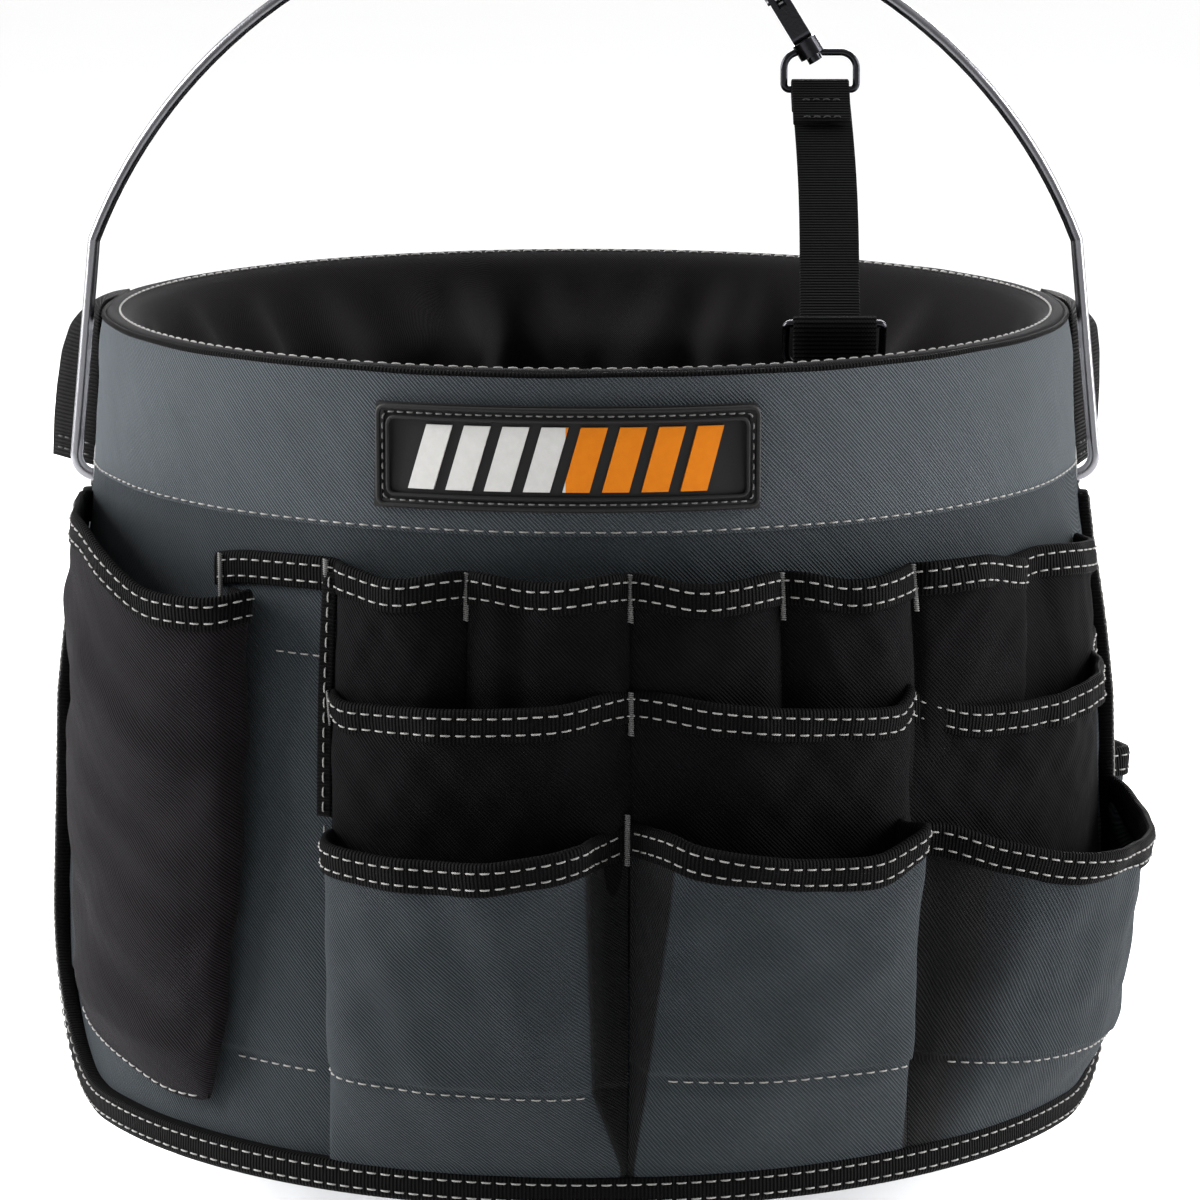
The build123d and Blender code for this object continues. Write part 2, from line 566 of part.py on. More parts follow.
def write_pockets():
    write_row("upper_pocket", UPPER_SPLITS, UPPER_FRONT, GAP)
    top = UPPER_FRONT[-1][0]
    save(edge_binding(UPPER_FRONT, top, BINDING_START, UPPER_SPLITS[-1]), "upper_row_binding")

    write_row("middle_pocket", MIDDLE_SPLITS, MIDDLE_FRONT, MIDDLE_BACK)
    top = MIDDLE_FRONT[-1][0]
    save(edge_binding(MIDDLE_FRONT, top, MIDDLE_SPLITS[0], MIDDLE_SPLITS[-1]), "middle_row_binding")

    save(rounded_pouch(SIDE_POUCH, MIDDLE_BACK), "side_pocket")
    save(rounded_binding(SIDE_POUCH, MIDDLE_BACK), "side_pocket_binding")

    z0, top = LOWER_FRONT[0][0], LOWER_FRONT[-1][0]
    for number, span in enumerate(LOWER_SPANS, 1):
        save(pouch(LOWER_BACK, LOWER_FRONT, z0, top, *span), f"lower_pocket_{number}")
        save(edge_binding(LOWER_FRONT, top, *span), f"lower_pocket_{number}_binding")

    save(rounded_pouch(LOWER_POUCH, SIDE_BACK), "lower_pocket_3")
    save(rounded_binding(LOWER_POUCH, SIDE_BACK), "lower_pocket_3_binding")

    save(rounded_pouch(SLEEVE, GAP) - sleeve_cut(), "sleeve_pocket")
    save(sleeve_binding(), "sleeve_binding")

    write_row("back_upper_pocket", BACK_UPPER_SPLITS, UPPER_FRONT, GAP)
    top = UPPER_FRONT[-1][0]
    span = (BACK_UPPER_SPLITS[0], BACK_UPPER_SPLITS[-1])
    save(edge_binding(UPPER_FRONT, top, *span), "back_upper_binding")
    z0, top = BACK_LOWER_FRONT[0][0], BACK_LOWER_FRONT[-1][0]
    for number, span in enumerate(BACK_LOWER_SPANS, 1):
        pocket = pouch(GAP, BACK_LOWER_FRONT, z0, top, *span) & side_outline(BINDING_WIDTH + GAP, False)
        save(pocket, f"back_lower_pocket_{number}")
        save(edge_binding(BACK_LOWER_FRONT, top, *span), f"back_lower_binding_{number}")


def main():
    os.makedirs("parts", exist_ok=True)
    save(pail_shell(), "pail_shell")
    save(bail_wire(), "bail_wire")
    save(bail_grip(), "bail_grip")
    save(strap_ring(), "strap_ring")
    save(swivel_stud(), "swivel_stud")
    save(hook_body(), "hook_body")
    save(hook_gate(), "hook_gate")
    save(gate_rivet(), "gate_rivet")
    save(gate_spring(), "gate_spring")
    save(strap_webbing(), "strap_webbing")
    save(anchor_tab(), "anchor_tab")
    save(anchor_ring(), "anchor_ring")
    save(rim_lining(), "rim_lining")
    save(rim_piping(), "rim_piping")
    for front, side in ((True, "front"), (False, "back")):
        save(cuff(front), f"{side}_cuff")
        save(apron(front), f"{side}_apron")
        save(hem_binding(front), f"{side}_hem_binding")
    save(hanger_strap(-1), "hanger_strap_left")
    save(hanger_strap(1), "hanger_strap_right")
    save(name_patch(), "name_patch")
    save(patch_bars(), "patch_bars")
    save(bar_tacks(), "bar_tacks")
    write_pockets()


main()
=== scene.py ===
import math

import bmesh
import bpy
import numpy as np
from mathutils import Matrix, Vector


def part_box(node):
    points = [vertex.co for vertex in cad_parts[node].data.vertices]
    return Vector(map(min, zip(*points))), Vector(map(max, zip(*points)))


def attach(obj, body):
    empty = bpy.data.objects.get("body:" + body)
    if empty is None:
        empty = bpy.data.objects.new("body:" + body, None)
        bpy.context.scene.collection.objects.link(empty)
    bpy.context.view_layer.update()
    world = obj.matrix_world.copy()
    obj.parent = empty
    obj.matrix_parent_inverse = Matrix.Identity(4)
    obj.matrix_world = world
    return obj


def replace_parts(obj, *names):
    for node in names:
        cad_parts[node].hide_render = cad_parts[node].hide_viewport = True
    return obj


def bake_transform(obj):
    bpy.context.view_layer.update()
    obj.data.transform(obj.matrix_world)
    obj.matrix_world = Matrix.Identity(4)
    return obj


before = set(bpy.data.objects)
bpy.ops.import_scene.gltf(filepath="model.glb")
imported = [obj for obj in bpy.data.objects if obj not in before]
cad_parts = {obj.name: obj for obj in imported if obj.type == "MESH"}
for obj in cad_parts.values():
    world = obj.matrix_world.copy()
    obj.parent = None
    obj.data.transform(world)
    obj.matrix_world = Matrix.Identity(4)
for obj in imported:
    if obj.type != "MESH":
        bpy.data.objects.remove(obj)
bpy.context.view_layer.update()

# Lengths are in millimetres up to make_mesh, which writes metres. az is the angle in degrees round
# the pail from the front (-Y), growing towards +X. off is how far a point stands out from the drape.
MM = 0.001
FABRIC = 1.2            # thickness of the canvas
RIM_Z = 371.0           # top of the drape
SEAM_Z = 324.0          # where a cuff is sewn to its apron
APRON_LEDGE = 160.5     # below this an apron is a single layer
HEM_Z = 124.0           # lowest edge of an apron, and the radius of its corners
HEM_CORNER = 62.0
EDGE_AZ = 84.7          # half the angle that the front or back drape covers
BINDING = 9.5           # width of the binding, and half the thickness of it at the hem
HEM_HALF = 2.35
STITCH_PITCH = 4.5
STITCH_LENGTH = 3.1
MOUTH_DROP = 0.8        # from the binding's top edge down to the cloth inside it
ROOT_OFF = 1.5          # off of a pocket's cloth where it is sewn to the apron
CUFF_SEED = 11
DRAPE = ((120, 168.2), (168, 167), (220, 165.2), (270, 163.5), (300, 161), (322, 158.4), (345, 156.8),
         (362, 155.9), (371, 154.6))  # height, radius of the drape
DEGREE = 165.0 * math.pi / 180  # length of one degree on the drape


# ---- curves and surfaces ----
def hermite(t, a, b, slope_a, slope_b):
    """Cubic from a to b for t from 0 to 1, with the given slopes at its ends."""
    return ((1 + 2 * t) * (1 - t) ** 2 * a + t * (1 - t) ** 2 * slope_a
            + t * t * (3 - 2 * t) * b + t * t * (t - 1) * slope_b)


def ease(x, points):
    """Smooth curve through points, with no overshoot between them."""
    xs, ys = np.array(points, float).T
    h = np.diff(xs)
    d = np.diff(ys) / h
    m = np.zeros_like(ys)
    m[0], m[-1] = d[0], d[-1]
    same = d[:-1] * d[1:] > 0
    m[1:-1][same] = 2 * d[:-1][same] * d[1:][same] / (d[:-1][same] + d[1:][same])
    x = np.clip(x, xs[0], xs[-1])
    k = np.clip(np.searchsorted(xs, x) - 1, 0, len(h) - 1)
    return hermite((x - xs[k]) / h[k], ys[k], ys[k + 1], h[k] * m[k], h[k] * m[k + 1])


def drape_r(z):
    return ease(z, DRAPE)


def level(z):
    """A height that is the same at every angle."""
    return lambda az: z + 0 * az


def place(az, z, r):
    """Points at the angle az, height z and radius r."""
    a = np.radians(az)
    return np.stack([r * np.sin(a), -r * np.cos(a), z + 0 * a], axis=-1)


def outward(az):
    return place(az, 0 * az, 1.0)


def ripple(x, z, seed, size):
    """Slow, smooth unevenness between about -1 and 1."""
    rng = np.random.default_rng(seed)
    total = 0
    for share in (1.0, 0.6, 0.35):
        turn, phase, cross_phase = rng.uniform(0, 2 * math.pi, 3)
        k = 2 * math.pi / (size * share)
        with_turn = k * (x * math.cos(turn) + z * math.sin(turn)) + phase
        across = 0.6 * k * (z * math.cos(turn) - x * math.sin(turn)) + cross_phase
        total = total + share * np.sin(with_turn) * np.cos(across)
    return total / 1.6


def unit(v):
    return v / np.maximum(np.linalg.norm(v, axis=-1, keepdims=True), 1e-9)


def normals(grid):
    return unit(np.cross(np.gradient(grid, axis=0), np.gradient(grid, axis=1)))


def smooth_rows(path, rounds):
    path = path.copy()
    for _ in range(rounds):
        path[1:-1] = 0.25 * path[:-2] + 0.5 * path[1:-1] + 0.25 * path[2:]
    return path


def run_along(grid, axis):
    """Length along one axis of a grid of points, from its first row."""
    step = np.linalg.norm(np.diff(grid, axis=axis), axis=-1)
    zero = np.zeros([1 if i == axis else n for i, n in enumerate(step.shape)])
    return np.concatenate([zero, np.cumsum(step, axis=axis)], axis=axis)


def length_along(path):
    return run_along(path[:, None], 0)[:, 0]


def read_at(lengths, run, path):
    """Points, or any rows of numbers, read off path at the given lengths along it."""
    return np.stack([np.interp(lengths, run, path[:, i]) for i in range(path.shape[1])], axis=-1)


def evenly(path, count):
    """The path again, as count points at equal steps."""
    run = length_along(path)
    return read_at(np.linspace(0, run[-1], count), run, path)


def chords(points):
    return np.linalg.norm(np.diff(np.array(points, float) * (DEGREE, 1.0), axis=0), axis=1)


def section_curve(points, counts):
    """A round curve through points (az, off), with counts[k] steps between points k and k + 1."""
    p = np.array(points, float) * (DEGREE, 1.0)
    s = np.concatenate([[0], np.cumsum(np.maximum(chords(points), 0.05) ** 0.7)])
    m = np.gradient(p, s, axis=0)
    rows = [p[:1]]
    for k, count in enumerate(counts):
        h = s[k + 1] - s[k]
        t = (np.arange(1, count + 1) / count)[:, None]
        rows.append(hermite(t, p[k], p[k + 1], h * m[k], h * m[k + 1]))
    return np.concatenate(rows) / (DEGREE, 1.0)


def change_mesh(obj, change):
    bm = bmesh.new()
    bm.from_mesh(obj.data)
    change(bm)
    bm.to_mesh(obj.data)
    bm.free()


def fix_normals(obj):
    change_mesh(obj, lambda bm: bmesh.ops.recalc_face_normals(bm, faces=bm.faces))


def make_mesh(name, points, faces, material, body="pail", flat=None, shade=None):
    """A piece in millimetres. flat is each point's place on the cut cloth, shade how much painted shade it
    has.
    """
    mesh = bpy.data.meshes.new(name)
    mesh.from_pydata((np.asarray(points, float) * MM).tolist(), [], faces)
    if flat is not None:
        layer = mesh.attributes.new("flat", "FLOAT_VECTOR", "POINT")
        layer.data.foreach_set("vector", (np.asarray(flat, float) * MM).astype(np.float32).ravel())
    if shade is not None:
        layer = mesh.attributes.new("shade", "FLOAT", "POINT")
        layer.data.foreach_set("value", np.asarray(shade, np.float32).ravel())
    mesh.validate()
    mesh.shade_smooth()
    mesh.materials.append(material)
    obj = bpy.data.objects.new(name, mesh)
    bpy.context.scene.collection.objects.link(obj)
    if body:
        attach(obj, body)
    return obj


def cloth(name, grid, material, slot, thickness=FABRIC, closed=False, shade=None):
    """A sheet of cloth whose outer face is grid, (across, up, 3), with a real inner face and edges."""
    nu, nv = grid.shape[:2]
    if closed:
        wide = np.concatenate([grid[-2:-1], grid, grid[1:2]])
        n = normals(wide)[1:-1]
    else:
        n = normals(grid)
    across, up = run_along(grid, 0), run_along(grid, 1)
    across = across - across[nu // 2][None]
    flat = np.stack([across, up, 0 * up], axis=-1)
    index = np.arange(nu * nv).reshape(nu, nv)
    last = nu - 1
    a, b = index[:last, :-1].ravel(), index[1:, :-1].ravel()
    c, d = index[1:, 1:].ravel(), index[:last, 1:].ravel()
    front = np.stack([a, b, c, d], axis=1)
    back = np.stack([d, c, b, a], axis=1) + nu * nv
    rim = [index[:, 0][::-1], index[:, -1]]
    if not closed:
        rim += [index[0, :], index[-1, :][::-1]]
    sides = [np.stack([e[:-1], e[1:], e[1:] + nu * nv, e[:-1] + nu * nv], axis=1)[:, ::-1] for e in rim]
    faces = np.concatenate([front, back] + sides).tolist()
    points = np.concatenate([grid.reshape(-1, 3), (grid - n * thickness).reshape(-1, 3)])
    flats = np.concatenate([flat.reshape(-1, 3)] * 2)
    shades = None if shade is None else np.concatenate([shade.ravel()] * 2)
    obj = make_mesh(name, points, faces, material, "pail", flats, shades)
    if closed:
        change_mesh(obj, lambda bm: bmesh.ops.remove_doubles(bm, verts=bm.verts, dist=1e-6))
    return obj


def tube_faces(count, around, closed=False):
    """Faces of a tube of count rings, closed on itself or with a cap at each end."""
    index = np.arange(count * around).reshape(count, around)
    beside = np.roll(index, -1, axis=1)
    if closed:
        corners = (index, np.roll(index, -1, axis=0), np.roll(beside, -1, axis=0), beside)
        return np.stack(corners, axis=-1).reshape(-1, 4).tolist()
    corners = (index[:-1], beside[:-1], beside[1:], index[1:])
    quads = np.stack(corners, axis=-1).reshape(-1, 4).tolist()
    return quads + [index[0].tolist()[::-1], index[-1].tolist()]


def sweep(name, path, rings, around, material, body):
    """A solid strip through rings of points about path. around is each ring point's place on the weave."""
    along = length_along(path)
    flat = np.stack(np.broadcast_arrays(along[:, None], around[None], 0.0), axis=-1)
    obj = make_mesh(name, rings.reshape(-1, 3), tube_faces(*rings.shape[:2]), material, body,
                    flat.reshape(-1, 3))
    fix_normals(obj)
    return obj


def tape(name, path, out, inward, half=1.55):
    """A binding folded over an edge: path is the edge's middle, out its face and inward into the cloth."""
    fold = [(0.7, BINDING), (1.0, BINDING - 0.5), (1.0, BINDING * 0.72), (1.08, BINDING * 0.4),
            (0.95, 0.9), (0.62, -0.25)]
    shape = np.array([(-x, -y) for x, y in fold] + [(0, 0.62)] + [(x, -y) for x, y in fold[::-1]])
    rings = (path[:, None] + out[:, None] * (shape[:, 0] * half)[None, :, None]
             - inward[:, None] * shape[:, 1][None, :, None])
    around = length_along(shape * (half, 1))
    return sweep(name, path, rings, around, TAPE, "pail")


def ribbon(name, path, side, width, thickness, material, body="pail"):
    """A flat strap along path, side being the unit direction of its width."""
    up = unit(np.cross(side, unit(np.gradient(path, axis=0))))
    h, t = width / 2, thickness / 2
    face = [-h + 0.3, -h / 2, 0, h / 2, h - 0.3]
    shape = np.array([(x, -t) for x in face] + [(h, -t * 0.4), (h, t * 0.4)]
                     + [(x, t) for x in face[::-1]] + [(-h, t * 0.4), (-h, -t * 0.4)])
    rings = (path[:, None] + side[:, None] * shape[:, 0][None, :, None]
             + up[:, None] * shape[:, 1][None, :, None])
    return sweep(name, path, rings, shape[:, 0], material, body)


def stitches(name, lines, material, body="pail", pitch=STITCH_PITCH, length=STITCH_LENGTH, radius=0.28):
    """Rows of single stitches, each a short thread that dips into the cloth at both ends. lines holds
    (points, outward directions) pairs."""
    stations = np.array([0.0, 0.12, 0.5, 0.88, 1.0])
    lift = np.array([-0.25, 0.12, 0.26, 0.12, -0.25])[:, None, None]
    girth = radius * np.array([0.5, 0.95, 1.0, 0.95, 0.5])[:, None, None]
    angles = (np.arange(6) * math.pi / 3)[:, None]
    points, faces, count = [], [], 0
    for line, face in lines:
        run = length_along(line)
        n = int((run[-1] - 0.5) // pitch)
        if n < 1:
            continue
        start = (run[-1] - n * pitch + pitch - length) / 2 + np.arange(n) * pitch
        s = start[:, None] + stations * length
        p, f = read_at(s, run, line), unit(read_at(s, run, face))
        t = unit(p[:, -1] - p[:, 0])[:, None]
        b = unit(np.cross(f, t + 0 * f))
        rings = (p[:, :, None] + f[:, :, None] * (lift + girth * np.sin(angles))
                 + b[:, :, None] * (girth * np.cos(angles)))
        index = count + np.arange(n * 30).reshape(n, 5, 6)
        beside = np.roll(index, -1, axis=2)
        quads = np.stack([index[:, :-1], beside[:, :-1], beside[:, 1:], index[:, 1:]], axis=-1)
        points.append(rings.reshape(-1, 3))
        faces += quads.reshape(-1, 4).tolist() + index[:, 0, ::-1].tolist() + index[:, -1].tolist()
        count += n * 30
    return make_mesh(name, np.concatenate(points), faces, material, body)


def bar_tack(foot, top, face, half=0.9, pitch=0.62):
    """The line of a satin-stitched bar between two points: a zigzag of short threads."""
    foot, top, face = (np.asarray(v, float) for v in (foot, top, face))
    run = unit(top - foot)
    side = unit(np.cross(face, run))
    n = max(4, int(np.linalg.norm(top - foot) / pitch))
    lines = []
    for i in range(n):
        mid = foot + run * (i + 0.5) * pitch
        line = np.array([mid - side * half - run * 0.18, mid, mid + side * half + run * 0.18])
        lines.append((line, np.array([face] * 3)))
    return lines


# ---- materials ----
def srgb(r, g, b):
    """The linear colour of 8-bit sRGB values."""
    return tuple(c / 12.92 if c <= 0.04045 else ((c + 0.055) / 1.055) ** 2.4
                 for c in (r / 255, g / 255, b / 255)) + (1.0,)


class Finish:
    """One material and its node tree."""

    def __init__(self, name, **sockets):
        self.material = bpy.data.materials.new(name)
        self.material.use_nodes = True
        self.tree = self.material.node_tree
        self.bsdf = self.tree.nodes["Principled BSDF"]
        for key, value in sockets.items():
            self.bsdf.inputs[key.replace("_", " ")].default_value = value

    def node(self, kind, settings=None, **inputs):
        made = self.tree.nodes.new("ShaderNode" + kind)
        for key, value in (settings or {}).items():
            setattr(made, key, value)
        for key, value in inputs.items():
            socket = made.inputs[int(key[1:])] if key[1:].isdigit() else made.inputs[key.replace("_", " ")]
            self.put(value, socket)
        return made

    def put(self, value, socket):
        if isinstance(value, bpy.types.NodeSocket):
            self.tree.links.new(value, socket)
        else:
            socket.default_value = value

    def math(self, operation, a, b=0.0):
        return self.node("Math", {"operation": operation}, i0=a, i1=b).outputs[0]

    def wave(self, value, pitch, phase=0.0):
        """A sine of a length in metres, with the given pitch in millimetres."""
        turns = self.math("MULTIPLY", value, 2 * math.pi / (pitch * MM))
        return self.math("SINE", self.math("ADD", turns, phase))

    def weave_axes(self):
        """The place on the cut cloth, across and up, or along and across a tape."""
        flat = self.node("Attribute", {"attribute_name": "flat"}).outputs["Vector"]
        axes = self.node("SeparateXYZ", Vector=flat)
        return axes.outputs[0], axes.outputs[1]

    def noise(self, scale, detail=3.0, vector=None):
        made = self.node("TexNoise", Scale=scale, Detail=detail)
        coordinates = vector or self.node("TexCoord").outputs["Object"]
        self.tree.links.new(coordinates, made.inputs["Vector"])
        return made.outputs["Fac"]

    def between(self, factor, low, high):
        return self.node("MapRange", {"clamp": True}, Value=factor, To_Min=low, To_Max=high).outputs[0]

    def mix(self, factor, a, b, blend="MIX"):
        made = self.node("Mix", {"data_type": "RGBA", "blend_type": blend})
        self.put(factor, made.inputs[0])
        self.put(a, made.inputs[6])
        self.put(b, made.inputs[7])
        return made.outputs[2]

    def bump(self, height, distance):
        """A bump of the given depth in millimetres."""
        made = self.node("Bump", Height=height, Distance=distance * MM, Strength=1.0)
        return made.outputs["Normal"]

    def end(self, **sockets):
        for key, value in sockets.items():
            self.put(value, self.bsdf.inputs[key.replace("_", " ")])
        return self.material


def woven(name, light, dark, pitch, depth, sheen, with_painted_shade=False, twill=True, spec=0.1):
    """Woven cloth: diagonal twill ribs broken by the crossing threads, with uneven dye and wear, and
    painted shade in the valleys of the weave.
    """
    f = Finish(name, Sheen_Weight=sheen, Sheen_Roughness=0.45, Specular_IOR_Level=spec)
    f.bsdf.inputs["Sheen Tint"].default_value = (0.9, 0.92, 1.0, 1.0)
    x, y = f.weave_axes()
    height = f.math("MULTIPLY", f.wave(x, pitch * 0.8), f.wave(y, pitch * 0.8, 1.3))
    if twill:
        rib = f.wave(f.math("ADD", x, y), pitch * 1.15)
        height = f.math("ADD", f.math("MULTIPLY", rib, 0.7), f.math("MULTIPLY", height, 0.5))
    slub = f.noise(900.0, 4.0)
    height = f.math("ADD", height, f.math("MULTIPLY", slub, 0.35))
    tone = f.mix(f.between(f.noise(26.0, 5.0), 0.25, 0.8), srgb(*dark), srgb(*light))
    # the colour follows the weave's height: partly the threads' own tone, partly painted shade in the
    # valleys
    thread = f.between(height, 0.48, 1.26)
    grey = f.node("CombineColor", i0=thread, i1=thread, i2=thread).outputs[0]
    shown = f.mix(1.0, tone, grey, "MULTIPLY")
    # painted shade: where the "shade" attribute is 1, the cloth is mixed to near black to stand for the
    # shade in the pleats
    if with_painted_shade:
        inner = f.node("Attribute", {"attribute_name": "shade"}).outputs["Fac"]
        shown = f.mix(inner, shown, srgb(10, 10, 11))
    return f.end(Base_Color=shown, Roughness=f.between(slub, 0.80, 0.94), Normal=f.bump(height, depth))


def webbing(name, light, dark, pitch, depth):
    """Narrow woven tape: ribs across its length and finer threads along it, with painted shade in the
    grooves between the ribs.
    """
    f = Finish(name, Sheen_Weight=0.01, Sheen_Roughness=0.4, Specular_IOR_Level=0.02)
    x, y = f.weave_axes()
    rib, thread = f.wave(x, pitch), f.wave(y, pitch * 0.7)
    height = f.math("ADD", rib, f.math("MULTIPLY", f.math("MULTIPLY", thread, rib), 0.35))
    slub = f.noise(1100.0, 3.0)
    height = f.math("ADD", height, f.math("MULTIPLY", slub, 0.3))
    tone = f.mix(f.between(f.noise(40.0, 4.0), 0.2, 0.8), srgb(*dark), srgb(*light))
    # painted shade: the grooves between the ribs are mixed towards near black
    shown = f.mix(f.between(height, 0.0, 1.0), srgb(4, 4, 4), tone)
    return f.end(Base_Color=shown, Roughness=f.between(slub, 0.54, 0.72), Normal=f.bump(height, depth))


def metal(name, colour, low, high, scale, streak=1.0):
    """Metal with faint drawn marks and uneven polish, from roughness low to high."""
    f = Finish(name, Metallic=1.0, Specular_IOR_Level=0.5)
    where = f.node("Mapping", Vector=f.node("TexCoord").outputs["Object"])
    where.inputs["Scale"].default_value = (1.0, 1.0, streak)
    spots = f.noise(scale, 6.0, where.outputs[0])
    grain = f.noise(scale * 14, 3.0, where.outputs[0])
    dull = tuple(0.62 * c for c in colour) + (1.0,)
    tone = f.mix(f.between(spots, 0.1, 0.9), dull, (*colour, 1.0))
    return f.end(Base_Color=tone, Roughness=f.between(spots, low, high), Normal=f.bump(grain, 0.03))


def moulded(name, light, dark, low, high, depth, grain=700.0, spec=0.5):
    """Moulded plastic or rubber with a fine surface grain."""
    f = Finish(name, Specular_IOR_Level=spec)
    cloud, fine = f.noise(14.0, 5.0), f.noise(grain, 4.0)
    tone = f.mix(f.between(cloud, 0.2, 0.85), srgb(*dark), srgb(*light))
    return f.end(Base_Color=tone, Roughness=f.between(cloud, low, high), Normal=f.bump(fine, depth))


def sewing_thread(name, light, dark):
    f = Finish(name, Sheen_Weight=0.05, Specular_IOR_Level=0.25)
    twist, cloud = f.noise(2600.0, 2.0), f.noise(180.0, 2.0)
    return f.end(Base_Color=f.mix(cloud, srgb(*dark), srgb(*light)), Roughness=f.between(twist, 0.5, 0.75),
                 Normal=f.bump(twist, 0.12))


GREY = woven("grey_canvas", (72, 78, 82), (61, 66, 70), 1.1, 0.22, 0.04, with_painted_shade=True)
# painted shade: a darker copy of the grey canvas for the aprons and the pockets on them, so that they look
# less lit than the cuffs
SHADED_GREY = woven("shaded_grey_canvas", (47, 53, 57), (39, 44, 47), 1.1, 0.22, 0.03, with_painted_shade=True)
BLACK = woven("black_canvas", (17, 16, 17), (11, 10, 11), 1.1, 0.2, 0.015, spec=0.02)
SLEEVE_CLOTH = woven("sleeve_canvas", (25, 22, 24), (18, 15, 17), 1.1, 0.2, 0.03, spec=0.03)
LINING = woven("lining_canvas", (24, 22, 23), (18, 16, 17), 0.9, 0.09, 0.03, twill=False, spec=0.06)
TAPE = webbing("binding_tape", (15, 14, 15), (10, 10, 10), 1.15, 0.2)
STRAP = webbing("strap_webbing_cloth", (14, 13, 14), (10, 10, 11), 1.25, 0.28)
HANGER = webbing("hanger_webbing", (19, 17, 18), (14, 12, 13), 1.25, 0.28)
THREAD = sewing_thread("stitch_thread", (140, 138, 136), (110, 109, 107))
DARK_THREAD = sewing_thread("dark_thread", (34, 33, 34), (24, 23, 24))
TACK = sewing_thread("tack_thread", (98, 97, 96), (74, 73, 73))
WIRE = metal("galvanised_wire_finish", (0.22, 0.22, 0.235), 0.16, 0.34, 90.0, 0.15)
NICKEL = metal("black_nickel_finish", (0.03, 0.03, 0.034), 0.14, 0.30, 70.0)
STEEL = metal("bright_steel_finish", (0.42, 0.42, 0.44), 0.16, 0.32, 80.0)
PAIL = moulded("pail_polyethylene", (180, 181, 183), (168, 169, 171), 0.34, 0.5, 0.05, 240.0)
GRIP = moulded("grip_moulding", (24, 24, 26), (18, 18, 20), 0.38, 0.55, 0.06)
RUBBER = moulded("patch_rubber_finish", (17, 16, 17), (12, 11, 12), 0.5, 0.66, 0.05, 1200.0, 0.2)
WHITE_ENDS_X = -0.0058  # metres: where the patch's bars change from white to orange


def patch_print():
    """Raised bars, white on the left half and orange on the right half."""
    f = Finish("patch_print_finish", Specular_IOR_Level=0.15)
    x = f.node("SeparateXYZ", Vector=f.node("TexCoord").outputs["Object"]).outputs[0]
    right = f.math("GREATER_THAN", x, WHITE_ENDS_X)
    worn = f.between(f.noise(420.0, 4.0), 0.0, 1.0)
    white = f.mix(worn, srgb(166, 165, 163), srgb(182, 181, 179))
    orange = f.mix(worn, srgb(178, 96, 0), srgb(192, 108, 2))
    return f.end(Base_Color=f.mix(right, white, orange), Roughness=f.between(worn, 0.42, 0.56),
                 Normal=f.bump(f.noise(1500.0, 3.0), 0.04))


PRINT = patch_print()


# ---- the drape: cuffs and aprons ----
HALF_ARC = EDGE_AZ * DEGREE
HEM_ROWS = (2.2, 7.3)  # the stitch rows of the hem, from its edge


def hem_line(az):
    """Height of an apron's lower edge, with its rounded corners."""
    into = np.clip(np.abs(az) * DEGREE - (HALF_ARC - HEM_CORNER), 0, HEM_CORNER)
    return HEM_Z + HEM_CORNER - np.sqrt(np.maximum(HEM_CORNER ** 2 - into ** 2, 0))


FLARE, FLARE_REACH, FLARE_SPAN = 4.0, 19.0, 14.0  # millimetres; degrees from the side, and of growth
WAIST_Z, WAIST_FADE = 300.0, 50.0


def flare(az, z):
    """How far the side edges of the aprons stand out below the waist."""
    from_side = 90.0 - np.abs((az + 90.0) % 180.0 - 90.0)
    near = np.clip((FLARE_REACH - from_side) / FLARE_SPAN, 0, 1)
    return FLARE * near * near * np.clip((WAIST_Z - z) / WAIST_FADE, 0, 1)


GROOVE, APRON_STEP, LEDGE_SLOPE = 0.55, 1.1, 0.8


def drape_off(az, z):
    """The groove of the seam, the unevenness of the cloth and the step down to the single layer."""
    groove = -GROOVE * np.exp(-((z - SEAM_Z) / 1.1) ** 2)
    loose = np.clip((RIM_Z - z) / 14.0, 0, 1)
    x = az * DEGREE
    uneven = loose * (0.45 * ripple(x, z, CUFF_SEED, 90.0) + 0.25 * ripple(x, z, CUFF_SEED + 1, 30.0))
    single = -APRON_STEP * np.clip(1.0 - (z - APRON_LEDGE) / LEDGE_SLOPE, 0, 1)
    return groove + uneven + single + flare(az, z)


def on_drape(az, z, lift=0.0):
    return place(az, z, drape_r(z) + drape_off(az, z) + lift)


def drape_part(facing, low, high, nu, nv):
    """Part of the drape up to a height, from low(angle from its middle)."""
    across = np.linspace(-EDGE_AZ, EDGE_AZ, nu)[:, None] + np.zeros((1, nv))
    foot = low(across)
    return on_drape(across + facing, foot + (high - foot) * np.linspace(0, 1, nv)[None])


def add_sheet(node, grid, material, slot, **options):
    """A sheet of cloth that stands for a CAD node."""
    piece = cloth(f"{node}_cloth", grid, material, slot, **options)
    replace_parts(piece, node)


def hem_edge():
    """The apron's edge as (az, z): down one side, round the corners and up the other, at even steps."""
    bottom = np.linspace(-EDGE_AZ, EDGE_AZ, 1600)
    up = np.linspace(SEAM_Z - 8, HEM_Z + HEM_CORNER, 90)[:-1]
    edge = np.concatenate([np.stack([0 * up - EDGE_AZ, up], 1), np.stack([bottom, hem_line(bottom)], 1),
                           np.stack([0 * up + EDGE_AZ, up], 1)[::-1]])
    run = length_along(edge * (DEGREE, 1))
    return read_at(np.arange(0, run[-1], 1.3), run, edge).T


